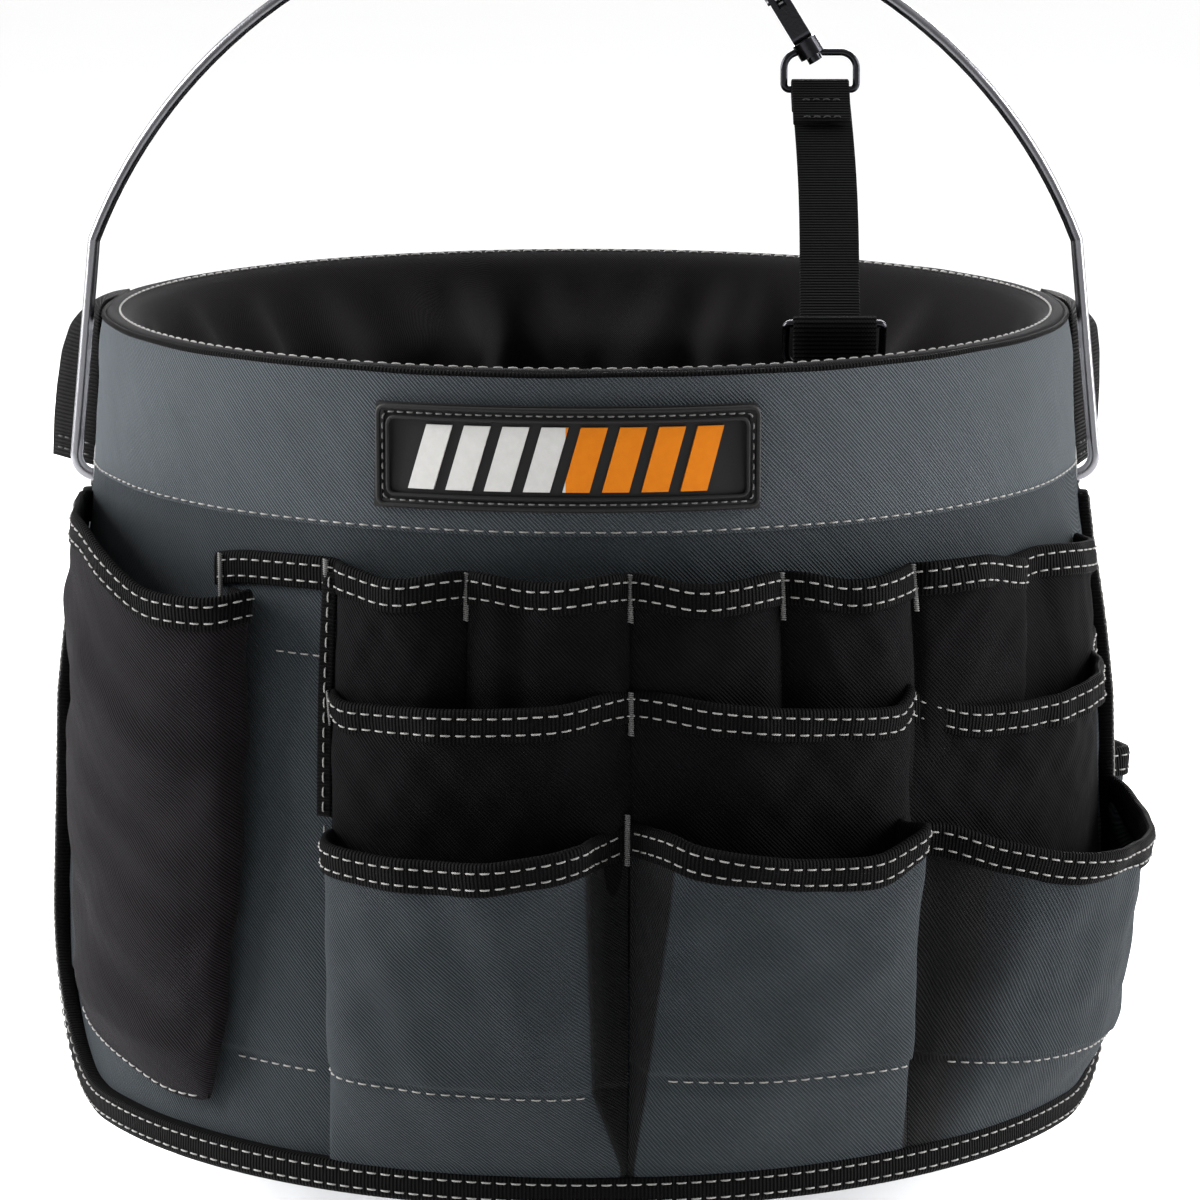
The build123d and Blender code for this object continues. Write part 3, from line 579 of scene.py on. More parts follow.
for side, facing in (("front", 0.0), ("back", 180.0)):
    apron = drape_part(facing, hem_line, SEAM_Z + 0.2, 260, 170)
    # the apron takes the darker grey copy, which is painted shade
    add_sheet(f"{side}_apron", apron, SHADED_GREY, "grey_fabric")
    add_sheet(f"{side}_cuff", drape_part(facing, level(SEAM_Z), RIM_Z, 260, 36), GREY, "grey_fabric")
    seam_az = np.linspace(-EDGE_AZ + 1.5, EDGE_AZ - 1.5, 500) + facing
    stitches(f"{side}_cuff_stitches", [(on_drape(seam_az, SEAM_Z + 1.4, 0.15), outward(seam_az))], THREAD)

    edge_az, edge_z = hem_edge()
    edge_az = edge_az + facing
    out = outward(edge_az)
    path = smooth_rows(place(edge_az, edge_z - 0.4, drape_r(edge_z) + 0.35 + flare(edge_az, edge_z)), 3)
    inward = unit(np.cross(out, unit(np.gradient(path, axis=0))))
    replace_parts(tape(f"{side}_hem_tape", path, out, inward, HEM_HALF), f"{side}_hem_binding")
    stitches(f"{side}_hem_stitches",
             [(path + out * (HEM_HALF * 1.07) + inward * row, out) for row in HEM_ROWS], THREAD)


# ---- pockets ----
LOOK_DOWN = 0.17        # how much higher a mouth is drawn per millimetre that it stands out
POCKET_LEDGE = 1.4      # step where the cloth of a deep pocket is doubled
MOUTH_ROWS = (2.1, 7.1)  # the stitch rows of a mouth's binding, from its top


def pocket_grid(sections, top, foot, nu, nv, bulge, seen=None, ledge=None):
    """Outer face of a pocket. sections are (height share, [(az, off), ...]) from foot to mouth.
    seen is the off at which top() is exact; further out the edge is a little higher.
    ledge is the height, left and right, above which the cloth is doubled. Returns the grid, its
    angles and the column of each point of a section."""
    shares = np.array([s for s, _ in sections])
    run = chords(sections[-1][1])
    counts = np.maximum(np.round(run / run.sum() * nu), 2).astype(int)
    curves = np.array([section_curve(points, counts) for _, points in sections])
    t = np.linspace(0, 1, nv)
    k = np.clip(np.searchsorted(shares, t, side="right") - 1, 0, len(shares) - 2)
    w = ((t - shares[k]) / (shares[k + 1] - shares[k]))[:, None, None]
    mixed = smooth_rows((1 - w) * curves[k] + w * curves[k + 1], 1)
    az, off = mixed[..., 0].T, mixed[..., 1].T
    off = off + bulge(az, t[None]) * np.clip((off - 1.2) / 3.0, 0, 1)
    low, high = foot(az), top(az)
    if seen is not None:
        high = high + LOOK_DOWN * np.cos(np.radians(az)) * (off[:, -1:] - seen)
    z = low + (high - low) * t[None]
    if ledge is not None:
        fold = ledge[0] + (ledge[1] - ledge[0]) * np.linspace(0, 1, len(az))[:, None]
        off = off + POCKET_LEDGE * np.clip((z - fold) / LEDGE_SLOPE, 0, 1)
    return place(az, z, drape_r(z) + off + flare(az, z)), az, np.concatenate([[0], np.cumsum(counts)])


def scaled(points, depth):
    """A section of the same outline with its depth scaled."""
    az, off = np.array(points, float).T
    return list(zip(az, ROOT_OFF + (off - off.min()) * depth))


def row_sections(points, foot_depth, waist, waist_depth):
    """Sections of a pocket in a row: shallow at its foot, and of full depth at its mouth."""
    return [(0, scaled(points, foot_depth)), (waist, scaled(points, waist_depth)), (1, points)]


def mouth(table):
    """The top of the cloth inside the binding whose edge follows the table."""
    return lambda az: ease(az, table) - MOUTH_DROP


def wrinkles(depth, tall, seed, size):
    """Unevenness that grows from the foot of a pocket, tall high, to its mouth."""
    return lambda az, t: depth * t * ripple(az * DEGREE, tall * t, seed, size)


def pocket_row(name, outlines, tops, foot, shape, counts, wrinkle, seen=None):
    """Black pockets side by side. shape holds the depth at the foot, and the height and depth of the
    waist. wrinkle holds a depth, a height, the first pocket's seed and a size."""
    grids = []
    depth, tall, seed, size = wrinkle
    for i, (points, top) in enumerate(zip(outlines, tops)):
        grid, _, _ = pocket_grid(row_sections(points, *shape), top, level(foot), *counts,
                                 wrinkles(depth, tall, seed + i, size), seen)
        add_sheet(name.format(i + 1), grid, BLACK, "black_fabric")
        grids.append(grid)
    return grids


def mouth_tape(name, grids, node, lead=None):
    """The binding over the mouths of pockets that stand side by side, with its two rows of stitches.
    lead is the stretch before the first pocket. Returns the binding's line and its directions."""
    rows = [] if lead is None else [lead]
    for grid in grids:
        n = normals(grid)[:, -1]
        rows.append((grid[:, -1] - n * FABRIC / 2, n, unit(grid[:, -3] - grid[:, -1])))
    path, out, down = (np.concatenate(parts) for parts in zip(*rows))
    run = length_along(path)
    fresh = np.concatenate([[True], np.diff(run) > 0.05])
    run, path, out, down = run[fresh], path[fresh], out[fresh], down[fresh]
    even = np.arange(0, run[-1], 1.0)
    path, out, down = (read_at(even, run, v) for v in (path, out, down))
    path, out, down = smooth_rows(path, 6), unit(smooth_rows(out, 14)), unit(smooth_rows(down, 14))
    down = unit(down - out * np.sum(down * out, axis=1, keepdims=True))
    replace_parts(tape(f"{name}_tape", path, out, down), node)
    stitches(f"{name}_stitches", [(path + out * 1.6 + down * row, out) for row in MOUTH_ROWS], THREAD)
    return path, out, down


def seam_on(name, grid, low, high, cut):
    """A row of stitches across a pocket, read off its surface, from height low at the left to high
    at the right. cut is the share of the pocket's columns where it starts and ends."""
    n, nu = normals(grid), len(grid)
    points, faces = [], []
    for i in range(int(nu * cut[0]), int(nu * cut[1])):
        z = low + (high - low) * i / nu
        points.append(read_at(z, grid[i][:, 2], grid[i]))
        faces.append(read_at(z, grid[i][:, 2], n[i]))
    stitches(name, [(smooth_rows(np.array(points), 2), unit(np.array(faces)))], THREAD)


tacks = []


def add_tack(line, az, top, foot):
    """A bar tack across a binding at the angle az, from top to foot below the binding's edge."""
    path, out, down = line
    k = int(np.argmin(np.abs(np.degrees(np.arctan2(path[:, 0], -path[:, 1])) - az)))
    tacks.extend(bar_tack(path[k] + out[k] * 1.9 + down[k] * foot, path[k] + out[k] * 2.0 + down[k] * top,
                          out[k]))


UPPER_TOP = ((-44, 312.5), (-38.7, 314.7), (-28, 315.5), (-19, 311.5), (-12.3, 314.8), (-4.6, 312),
             (4.6, 314.8), (11.7, 311), (20.7, 313.6), (28, 309.6), (36.8, 312), (44, 312), (52.6, 308.2),
             (58.4, 309.1), (70.4, 306.2), (84, 308))
MIDDLE_TOP = ((-28, 280), (-23.5, 275.6), (-13.9, 275.8), (-3.3, 277.4), (4.5, 282.1), (12.8, 277.4),
              (20.8, 274.5), (31.7, 272.3), (33.9, 276), (36, 279))
SIDE_TOP = ((34, 278), (44.7, 267.2), (52.9, 266.3), (61.9, 268.7), (70, 272), (80, 276))
LOWER_TOP_1 = ((-28, 240), (-24, 236.6), (-16.1, 234.6), (-9.9, 234.5), (-3.9, 237.1), (1, 241.5),
               (4.4, 245.6))
LOWER_TOP_2 = ((4.4, 245.6), (7.4, 243.3), (9.8, 239.5), (18.7, 233.9), (25.3, 232.8), (30.9, 237.6),
               (33, 240), (36, 241))
LOWER_TOP_3 = ((34.9, 237), (37.5, 236.7), (44.4, 227.9), (51.8, 220.4), (59.2, 217.5), (68, 216.5),
               (73, 217.5), (77, 219.5), (82, 224))
SLEEVE_TOP = ((-80, 317), (-72, 319.5), (-64, 320.3), (-58.4, 319.3), (-52, 312.4), (-44, 303.5),
              (-38.7, 303), (-34.5, 306.5), (-33, 308))

# upper row: six narrow tube pockets
UPPER = (
    [(-27, 1.5), (-26, 5), (-23, 9.5), (-19.5, 11.5), (-16, 11), (-13.6, 8), (-12.6, 3.5), (-12.3, 1.5)],
    [(-12.3, 1.5), (-11.6, 5), (-9.2, 9), (-6.5, 8.2), (-4.4, 10.5), (-0.5, 12), (2.6, 9.5), (4.1, 4.5),
     (4.6, 1.5)],
    [(4.6, 1.5), (5.3, 4.5), (7.4, 9.2), (11.4, 11.8), (15.4, 11.2), (18.6, 8.6), (20.1, 4.5), (20.7, 1.5)],
    [(20.7, 1.5), (21.5, 4.5), (23.8, 9), (28, 11.6), (32, 11), (34.6, 8), (36.2, 4), (36.8, 1.5)],
    [(36.8, 1.5), (37.6, 5), (40.5, 9), (45, 11), (49, 11), (51.8, 9.6), (52.9, 6.6), (52.2, 4),
     (50.8, 2.6), (50, 1.6)],
    [(50, 1.2), (53.5, 1.6), (57.5, 2.8), (60.5, 6), (64, 9), (67.5, 9.2), (70.6, 7), (72.4, 4),
     (73.6, 1.5)],
)
ROW_FOOT = 244.0
grids = pocket_row("upper_pocket_{}", UPPER, [mouth(UPPER_TOP)] * len(UPPER), ROW_FOOT, (0.12, 0.35, 0.62),
                   (60, 40), (1.3, 60, 41, 26), seen=6)
lead_az = np.linspace(-43.5, -27.1, 40)
lead_z = mouth(UPPER_TOP)(lead_az)
lead = (place(lead_az, lead_z, drape_r(lead_z) + 1.4), outward(lead_az), np.tile([0.0, 0.0, -1.0], (40, 1)))
line = mouth_tape("upper_row", grids, "upper_row_binding", lead)
for az in (-42.6, -28.3, -12.3, 4.6, 20.7, 36.8):
    add_tack(line, az, -0.3, 14.0)

# middle row: two wide pockets
MIDDLE = (
    [(-27, 1.5), (-26.2, 6), (-24, 11), (-20, 14.5), (-13, 16), (-6, 15.6), (-0.5, 13), (2.6, 8), (4, 3.5),
     (4.6, 1.5)],
    [(4.6, 1.5), (5.4, 4), (8, 9.5), (13, 14.5), (20, 16.5), (27, 16), (31.5, 13.6), (34.2, 9.5), (35.2, 5),
     (35.0, 1.5)],
)
MIDDLE_FOOT = 196.0
grids = pocket_row("middle_pocket_{}", MIDDLE, [mouth(MIDDLE_TOP)] * 2, MIDDLE_FOOT, (0.14, 0.5, 0.6),
                   (110, 50), (1.7, 80, 61, 38), seen=14)
line = mouth_tape("middle_row", grids, "middle_row_binding")
for az in (-26.6, 4.6):
    add_tack(line, az, -0.3, 13.0)

# side pocket at the right
SIDE = [(35.4, 1.5), (38, 3), (44, 7.5), (50, 13), (56, 16.5), (62, 15.4), (67, 10.6), (71, 6), (75, 2.8),
        (78, 1.5)]
grids = pocket_row("side_pocket", [SIDE], [mouth(SIDE_TOP)], MIDDLE_FOOT, (0.2, 0.5, 0.7), (110, 50),
                   (1.9, 80, 71, 34.0), seen=14.0)
mouth_tape("side_pocket", grids, "side_pocket_binding")

# lower pockets: deep, with gathered sides that close to a point at the hem
LOWER_1 = [
    (0, [(-27, 1), (-26.6, 1.5), (-22, 1.9), (-15, 2), (-8, 2), (-2, 2), (2.4, 1.9), (3.5, 1.8), (3.9, 1.5),
         (4, 1.3), (4.2, 1)]),
    (0.3, [(-27, 1.5), (-26.2, 6), (-24.6, 11), (-17.6, 14.4), (-8, 15.2), (-3.4, 14.4), (-0.6, 12.8),
           (0.6, 10), (1, 6), (2.2, 2.8), (4.2, 1.5)]),
    (1, [(-27, 1.5), (-26.2, 9), (-24.2, 19), (-18, 26.5), (-10, 30.4), (-4.8, 30), (-1.7, 27.8),
         (-0.2, 23.5), (0.5, 12), (2.2, 4), (4.3, 1.5)]),
]
LOWER_2 = [
    (0, [(4.25, 1), (4.3, 1.2), (4.4, 1.4), (4.6, 1.6), (4.9, 1.8), (5.6, 1.9), (10, 2), (18, 2), (25, 2),
         (32, 1.9), (33.8, 1.8), (34.4, 1.6), (34.6, 1.4), (34.8, 1.2), (35.2, 1)]),
    (0.3, [(4.4, 1.5), (4.6, 2.4), (5, 5), (5.3, 8), (5.8, 10.6), (7, 12.4), (12, 14.4), (19, 15.2),
           (25, 14.4), (31, 13), (32.8, 11), (33.4, 8.4), (33.2, 5), (33.8, 2.8), (35.2, 1.5)]),
    (1, [(4.5, 1.5), (5.2, 3.5), (6.2, 11), (7.4, 19), (8.2, 24), (9.4, 26.8), (13, 29), (19, 30.4),
         (25, 29.8), (29.6, 28), (31.9, 25), (32.9, 19), (32.6, 11), (33.4, 5), (35.2, 1.5)]),
]
LOWER_3 = [
    (0, [(35.3, 1), (36, 1.4), (38, 1.7), (43, 2), (50, 2), (57, 2), (64, 2), (70, 1.9), (75, 1.7),
         (79, 1.4), (82, 1)]),
    (0.3, [(35.3, 1.5), (36.5, 3), (39.5, 7), (44, 12), (50, 15.5), (57, 17), (64, 15.5), (70, 12),
           (75, 7.5), (79, 3.5), (82, 1.5)]),
    (1, [(35.6, 1.5), (38, 4.5), (43, 14), (49, 23.5), (56, 29.5), (62, 28.5), (68, 23.5), (73, 18.5),
         (77, 13), (80.3, 7), (82.5, 1.5)]),
]


def lower_wrinkles(seed):
    return lambda az, t: (0.6 + 1.5 * t) * ripple(az * DEGREE, 100 * t, seed, 52.0) * np.clip(t * 6, 0, 1)


def lower_foot(az):
    return hem_line(az) + 3.0


def pleat_shade(az, columns, left, right):
    """Painted shade: 1 on the turned-in sides of a pocket, where shade falls, and 0 on its front. left and
    right are the section points where it leaves 0 and where it reaches 1."""
    at_point = np.interp(np.arange(len(az)), columns, np.arange(len(columns)))
    dark = 0 * at_point
    for side in (left, right):
        if side:
            dark = np.maximum(dark, np.clip((at_point - side[0]) / (side[1] - side[0]), 0, 1))
    return dark[:, None] + 0 * az


FOOT_SHARE = 0.075


def bound_foot(sections):
    """The lowest section again at the height where the hem binding ends."""
    foot = sections[0][1]
    return [sections[0], (FOOT_SHARE, [(a, 0.4 + 1.1 * o) for a, o in foot])] + sections[1:]


# sections, mouth, the section points where the painted shade on the turned-in sides starts and where it is
# full, the ledge and the section points of the seam
LOWER = ((LOWER_1, LOWER_TOP_1, (None, (6.9, 7.15)), (163.8, 160.8), (0, 7)),
         (LOWER_2, LOWER_TOP_2, ((4.15, 3.9), (10.6, 11.2)), (168.3, 162.3), (5, 10.5)),
         (LOWER_3, LOWER_TOP_3, ((3.2, 2.0), None), (162.8, 147.8), (1.6, 9)))
SEAM_UNDER = 1.7  # the seam runs this far under the ledge
lines = []
for i, (sections, top, sides, ledge, reach) in enumerate(LOWER, 1):
    grid, az, columns = pocket_grid(bound_foot(sections), mouth(top), lower_foot, 170, 120,
                                    lower_wrinkles(80 + i), seen=30.0, ledge=ledge)
    # the turned-in sides of each lower pocket get painted shade
    add_sheet(f"lower_pocket_{i}", grid, SHADED_GREY, "grey_fabric", shade=pleat_shade(az, columns, *sides))
    lines.append(mouth_tape(f"lower_pocket_{i}", [grid], f"lower_pocket_{i}_binding"))
    ends = np.interp(reach, np.arange(len(columns)), columns) / len(grid)
    seam_on(f"lower_pocket_{i}_seam", grid, ledge[0] - SEAM_UNDER, ledge[1] - SEAM_UNDER, ends)
add_tack(lines[0], 4.2, -4.0, 12.0)
add_tack(lines[0], -27.2, -2.0, 11.0)

# sleeve at the left
SLEEVE = [
    (0, [(-73, 1.2), (-72, 1.6), (-67, 2.4), (-60, 3.2), (-53, 3.6), (-47.6, 3.4), (-44.2, 3), (-42.8, 2.4),
         (-42.4, 1.9), (-43, 1.5), (-44.2, 1.2)]),
    (0.1, [(-75, 1.4), (-73.5, 2.6), (-69, 6), (-61, 11), (-54, 13.6), (-47.5, 12.8), (-43, 10.4),
           (-40.4, 7.4), (-40, 4.4), (-41.3, 2.4), (-43.5, 1.5)]),
    (0.5, [(-78, 1.5), (-76.5, 3.4), (-72, 7), (-64.5, 13.5), (-56, 19), (-47.5, 19.5), (-41.3, 16),
           (-37.6, 11.4), (-36.8, 6), (-38.6, 3), (-41.6, 1.5)]),
    (1, [(-80, 1.5), (-79, 3.6), (-74.5, 7), (-67, 13.5), (-58, 22.5), (-49.5, 26.5), (-42.2, 24),
         (-37.3, 17.6), (-35.7, 10.4), (-37.5, 4.5), (-40.5, 1.5)]),
]
SLEEVE_FOOT = ((-78, 162), (-72, 155), (-67.5, 151), (-54.6, 146), (-47, 143), (-43.5, 143.4), (-41.5, 146),
               (-39, 151))


def sleeve_wrinkles(az, t):
    return 1.9 * np.clip(t * 8, 0, 1) * ripple(az * DEGREE, 170 * t, 91, 62.0)


grid, _, _ = pocket_grid(SLEEVE, mouth(SLEEVE_TOP), lambda az: ease(az, SLEEVE_FOOT), 150, 110,
                         sleeve_wrinkles)
add_sheet("sleeve_pocket", grid, SLEEVE_CLOTH, "black_fabric")
mouth_tape("sleeve", [grid], "sleeve_binding")
foot_face = normals(grid)[6:-30, 1]
stitches("sleeve_foot_stitches", [(grid[6:-30, 1] + foot_face * 0.1, foot_face)], THREAD, length=3.6)

# ---- back rows ----
BACK_UPPER_AZ = (118.0, 159.0, 201.0, 242.0)
BACK_LOWER_AZ = ((101, 141), (160, 200), (219, 259))


def sagging(a, b, high):
    """A mouth at the height high between the angles a and b, which hangs down in its middle."""
    return lambda az: high - 4.0 * np.sin(math.pi * (az - a) / (b - a))


def mirrored(half):
    """The points of half, then the same in reverse, with 1 - x for x."""
    return half + [(1 - x, off) for x, off in half[-2::-1]]


BACK_UPPER = [[(a, 1.5), (a + 1, 5), (a + 5, 9.5), (a + 13, 11.5), ((a + b) / 2, 11.8), (b - 13, 11.5),
               (b - 5, 9.5), (b - 1, 5), (b, 1.5)] for a, b in zip(BACK_UPPER_AZ[:-1], BACK_UPPER_AZ[1:])]
tops = [sagging(points[0][0], points[-1][0], 314.0) for points in BACK_UPPER]
grids = pocket_row("back_upper_pocket_{}", BACK_UPPER, tops, ROW_FOOT, (0.15, 0.4, 0.6), (120, 40),
                   (1.2, 60, 140, 44.0))
line = mouth_tape("back_upper_row", grids, "back_upper_binding")
for az in (159.0, -159.0):
    add_tack(line, az, -0.3, 14.0)

# (share of the width, off) of a lower back pocket's sections. The third one is flatter at its right,
# where the edge of the drape flares.
BACK_FOOT = mirrored([(0, 1.2), (0.04, 2.2), (0.1, 2.8), (0.26, 3.4), (0.5, 3.8)])
BACK_SEAM = mirrored([(0, 1.5), (0.03, 5), (0.1, 9), (0.26, 13), (0.5, 14.5)])
BACK_MOUTH = [(0, 1.5), (0.02, 10), (0.06, 21), (0.22, 24.5), (0.5, 26)]
BACK_MOUTH_END = [(0.78, 24.5), (0.94, 21), (0.98, 10), (1, 1.5)]
BACK_MOUTH_FLAT_END = [(0.78, 20), (0.87, 12), (0.95, 5), (1, 1.5)]
for i, (a, b) in enumerate(BACK_LOWER_AZ, 1):
    shapes = ((0.0, 0.94, BACK_FOOT), (0.3, 0.97, BACK_SEAM),
              (1.0, 1.0, BACK_MOUTH + (BACK_MOUTH_FLAT_END if i == 3 else BACK_MOUTH_END)))
    sections = [(t, [(a + (b - a) * (0.5 + (share - 0.5) * wide), off) for share, off in section])
                for t, wide, section in shapes]
    grid, az, _ = pocket_grid(sections, sagging(a, b, 218.0), lambda az: lower_foot(az - 180.0), 140, 70,
                              lower_wrinkles(180 + i))
    add_sheet(f"back_lower_pocket_{i}", grid, SHADED_GREY, "grey_fabric", shade=0 * az)
    mouth_tape(f"back_lower_pocket_{i}", [grid], f"back_lower_binding_{i}")
    seam_on(f"back_lower_pocket_{i}_seam", grid, 160.0, 160.0, (0.05, 0.95))

for name, low, high, z in (("front_seam_1", -40.5, -28.2, 158.8), ("front_seam_2", -35.5, -28.2, 285.4),
                           ("back_seam_1", 162, 167, 158.8), ("back_seam_2", 193, 198, 158.8)):
    az = np.linspace(low, high, 80)
    stitches(name, [(on_drape(az, z), outward(az))], THREAD)
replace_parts(stitches("bar_tack_threads", tacks, TACK, pitch=1.3, length=1.75, radius=0.3), "bar_tacks")

# ---- lining and rim ----
LINING_R = 143.0        # radius on which the folds are laid out
FOLD_TOP = RIM_Z - 5    # the folds start here
rng = np.random.default_rng(5)
# x of the folds seen from the front, with their width and depth, then as (angle, width, depth)
SEEN_FOLDS = ((131, 6, 5), (112, 5, 6), (92, 7, 5), (66, 8, 4), (44, 4.5, 6.5), (36, 4, 4), (14, 5, 5),
              (-6, 7, 4), (-30, 6, 5), (-52, 5, 5), (-60, 4, 3), (-92, 6, 4), (-118, 6, 5))
FOLDS = [(180 + math.degrees(math.asin(x / LINING_R)), width, depth) for x, width, depth in SEEN_FOLDS]
FOLDS += [(float(rng.uniform(a, a + 9)), float(rng.uniform(4, 7)), float(rng.uniform(2.5, 5.5)))
          for a in [*range(255, 350, 13), *range(2, 105, 13)]]


def lining_fold(az, z):
    """How far the lining's folds stand in from the pail at the height z."""
    below = np.clip((FOLD_TOP - z) / 26.0, 0, 1)
    grow = below * below * (3 - 2 * below)
    total = 0
    for k, (middle, width, depth) in enumerate(FOLDS):
        lean = 4.0 * math.sin(1.7 * k) * (RIM_Z - z) / 60.0
        d = (az - middle - lean + 180) % 360 - 180
        spread = width * (0.42 + 0.5 * grow)
        ridge = 2.5 * np.exp(-(d / spread) ** 2) - 0.04 * np.exp(-((d - 1.5 * spread) / spread) ** 2)
        total = total + depth * grow * ridge
    return total


# radius and height, from the rim's outer side over its top and down inside
RIM_PROFILE = [(152.6, 366), (152.8, 369), (153, 370.8), (152.5, 371.7), (151.2, 371.9), (149.6, 371.5),
               (147.8, 370.6), (146.4, 369.3), (145.4, 367.4), (144.7, 364.6), (144, 360), (143.4, 354)]
profile = RIM_PROFILE + [(127.2 + 0.0451 * z, z) for z in np.arange(349.0, 224.0, -3.2)]
ring_az = np.linspace(0, 360, 721)
columns = []
for r, z in profile[::-1]:
    if z < RIM_Z - 4:
        r = r - lining_fold(ring_az, z) - 0.3 - 0.3 * np.sin(np.radians(ring_az) * 11 + z / 31.0)
    columns.append(place(ring_az, z, r))
grid = np.stack(columns, axis=1)
grid[-1] = grid[0]
add_sheet("rim_lining", grid[::-1], LINING, "lining_fabric", thickness=-0.9, closed=True)
rim_line = place(ring_az, 372.4, 149.3)
rim_face = unit(place(ring_az, 1.0, -0.4))
stitches("rim_stitches", [(rim_line, rim_face)], THREAD, length=3.4, radius=0.33)

PIPING_R, PIPING_HALF = 154.3, 0.85
ring_az, turns = np.linspace(0, 360, 361)[:-1, None], np.arange(10) * 2 * math.pi / 10
wander = 0.25 * np.sin(np.radians(ring_az) * 9) + 0.15 * np.sin(np.radians(ring_az) * 23)
rings = place(ring_az, RIM_Z + 0.3 + 0.6 * wander + PIPING_HALF * np.sin(turns),
              PIPING_R + PIPING_HALF * np.cos(turns))
flat = np.stack(np.broadcast_arrays(np.radians(ring_az) * 154.0, turns * 1.25, 0.0), axis=-1)
piping = make_mesh("rim_piping_cord", rings.reshape(-1, 3), tube_faces(len(ring_az), 10, closed=True), TAPE,
                   flat=flat.reshape(-1, 3))
fix_normals(piping)
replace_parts(piping, "rim_piping")

# ---- hanger straps at the sides ----
# down from the rim: height, x of the edge on the cuff, x of the free edge at the right and at the left
HANGER_RUN = ((371.2, 155.2, 150.4, 150.4), (370.4, 156.4, 155.2, 155.6), (368.3, 157.2, 160.2, 161),
              (364.6, 157.6, 165.0, 166.0), (360.5, 157.8, 168.4, 169.5), (352.0, 157.8, 169.4, 172.4),
              (340.0, 158.2, 169.6, 174.2), (330.0, 158.8, 169.2, 175.2), (317.5, 159.8, 168.6, 175.8))
HANGER_WIDTH, CUFF_EDGE_Y = 29.0, 16.0
z, near, free_right, free_left = np.array(HANGER_RUN).T
for side, name, free in ((1, "right", free_right), (-1, "left", free_left)):
    depth = CUFF_EDGE_Y + np.sqrt(HANGER_WIDTH ** 2 - (free - near) ** 2)
    edges = np.concatenate([np.stack([side * near, 0 * z + CUFF_EDGE_Y, z], axis=1),
                            np.stack([side * free, depth, z], axis=1)], axis=1)
    run = length_along(0.5 * (edges[:, :3] + edges[:, 3:]))
    edges = smooth_rows(read_at(np.linspace(0, run[-1], 80), run, edges), 4)
    inner, outer = edges[:, :3], edges[:, 3:]
    path, across = 0.5 * (inner + outer), unit(outer - inner)
    strap = ribbon(f"hanger_strap_{name}_webbing", path, across, HANGER_WIDTH, 1.9, HANGER)
    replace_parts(strap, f"hanger_strap_{name}")
    face = unit(np.cross(across, np.gradient(path, axis=0)))
    face = face * np.sign(face[:, :1] * side)
    rows = [(path[k] + np.linspace(-12, 12, 9)[:, None] * across[k] + face[k], np.tile(face[k], (9, 1)))
            for k in (75, 70)]
    stitches(f"hanger_strap_{name}_stitches", rows, DARK_THREAD)

# ---- edge tape beside the upper row ----
EDGE_TAPE_AZ = -27.7
edge_z = np.linspace(311.0, 238.0, 60)
edge_out = outward(EDGE_TAPE_AZ + 0 * edge_z)
edge_path = place(EDGE_TAPE_AZ + 0 * edge_z, edge_z, drape_r(edge_z) + 2.6)
edge_side = outward(EDGE_TAPE_AZ + 90 + 0 * edge_z)
ribbon("edge_tape", edge_path, edge_side, 5.0, 1.1, TAPE)
stitches("edge_tape_stitches", [(edge_path + edge_out * 0.7, edge_out)], THREAD)

# ---- patch ----
def finish_node(node, material):
    """Gives a CAD node that stays in sight its finish."""
    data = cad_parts[node].data
    data.materials.clear()
    data.materials.append(material)


def box_mm(node):
    """A CAD node's box: its lowest and highest x, then y, then z, in millimetres."""
    return (np.array(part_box(node), float) / MM).T


finish_node("name_patch", RUBBER)
finish_node("patch_bars", PRINT)
patch_x, patch_y, patch_z = box_mm("name_patch")
PATCH_R = -patch_y[0]
PATCH_DEGREE = PATCH_R * math.pi / 180
patch_half = math.degrees(math.asin((patch_x[1] - patch_x[0]) / 2 / PATCH_R))
patch_mid = math.degrees(math.asin((patch_x[1] + patch_x[0]) / 2 / PATCH_R))


def patch_loop(inset, lift):
    """Points round the patch, inset from its outline, on its face."""
    corner, step = 2.2, 1.0
    wide = patch_half * PATCH_DEGREE - inset - corner
    low, high = patch_z[0] + inset + corner, patch_z[1] - inset - corner
    points = []
    for cx, cz, start in ((wide, high, 0), (-wide, high, 90), (-wide, low, 180), (wide, low, 270)):
        turn = np.radians(np.linspace(start, start + 90, 6))
        points.append(np.stack([cx + corner * np.cos(turn), cz + corner * np.sin(turn)], axis=1))
    points = np.concatenate(points + [points[0][:1]])
    x, z = evenly(points, int(length_along(points)[-1] / step)).T
    az = x / PATCH_DEGREE + patch_mid
    return place(az, z, PATCH_R + lift), outward(az)


def bead(name, path, out, radius, material, slot):
    """A raised bead of round section along a closed path."""
    path, out = path[:-1], out[:-1]
    tangent = unit(np.roll(path, -1, axis=0) - np.roll(path, 1, axis=0))
    side = unit(np.cross(out, tangent))
    angles = (np.arange(10) * 2 * math.pi / 10)[None, :, None]
    rings = path[:, None] + radius * (side[:, None] * np.cos(angles) + out[:, None] * np.sin(angles))
    faces = tube_faces(len(rings), 10, closed=True)
    fix_normals(make_mesh(name, rings.reshape(-1, 3), faces, material))


bead("patch_outer_bead", *patch_loop(0.9, -0.15), 0.8, RUBBER, "patch_rubber")
bead("patch_inner_bead", *patch_loop(4.0, -0.25), 0.65, RUBBER, "patch_rubber")
stitches("patch_stitches", [patch_loop(2.45, -0.12)], TACK, pitch=3.0, length=2.0, radius=0.26)

# ---- tether: strap webbing, tab and ring ----
TETHER_X, TETHER_WIDTH, TETHER_THICK = 75.0, 18.4, 1.6
RING_BAR = np.array([TETHER_X, 0.0, 441.7])
WRAP_R = 2.55           # the webbing's middle round the ring's bar
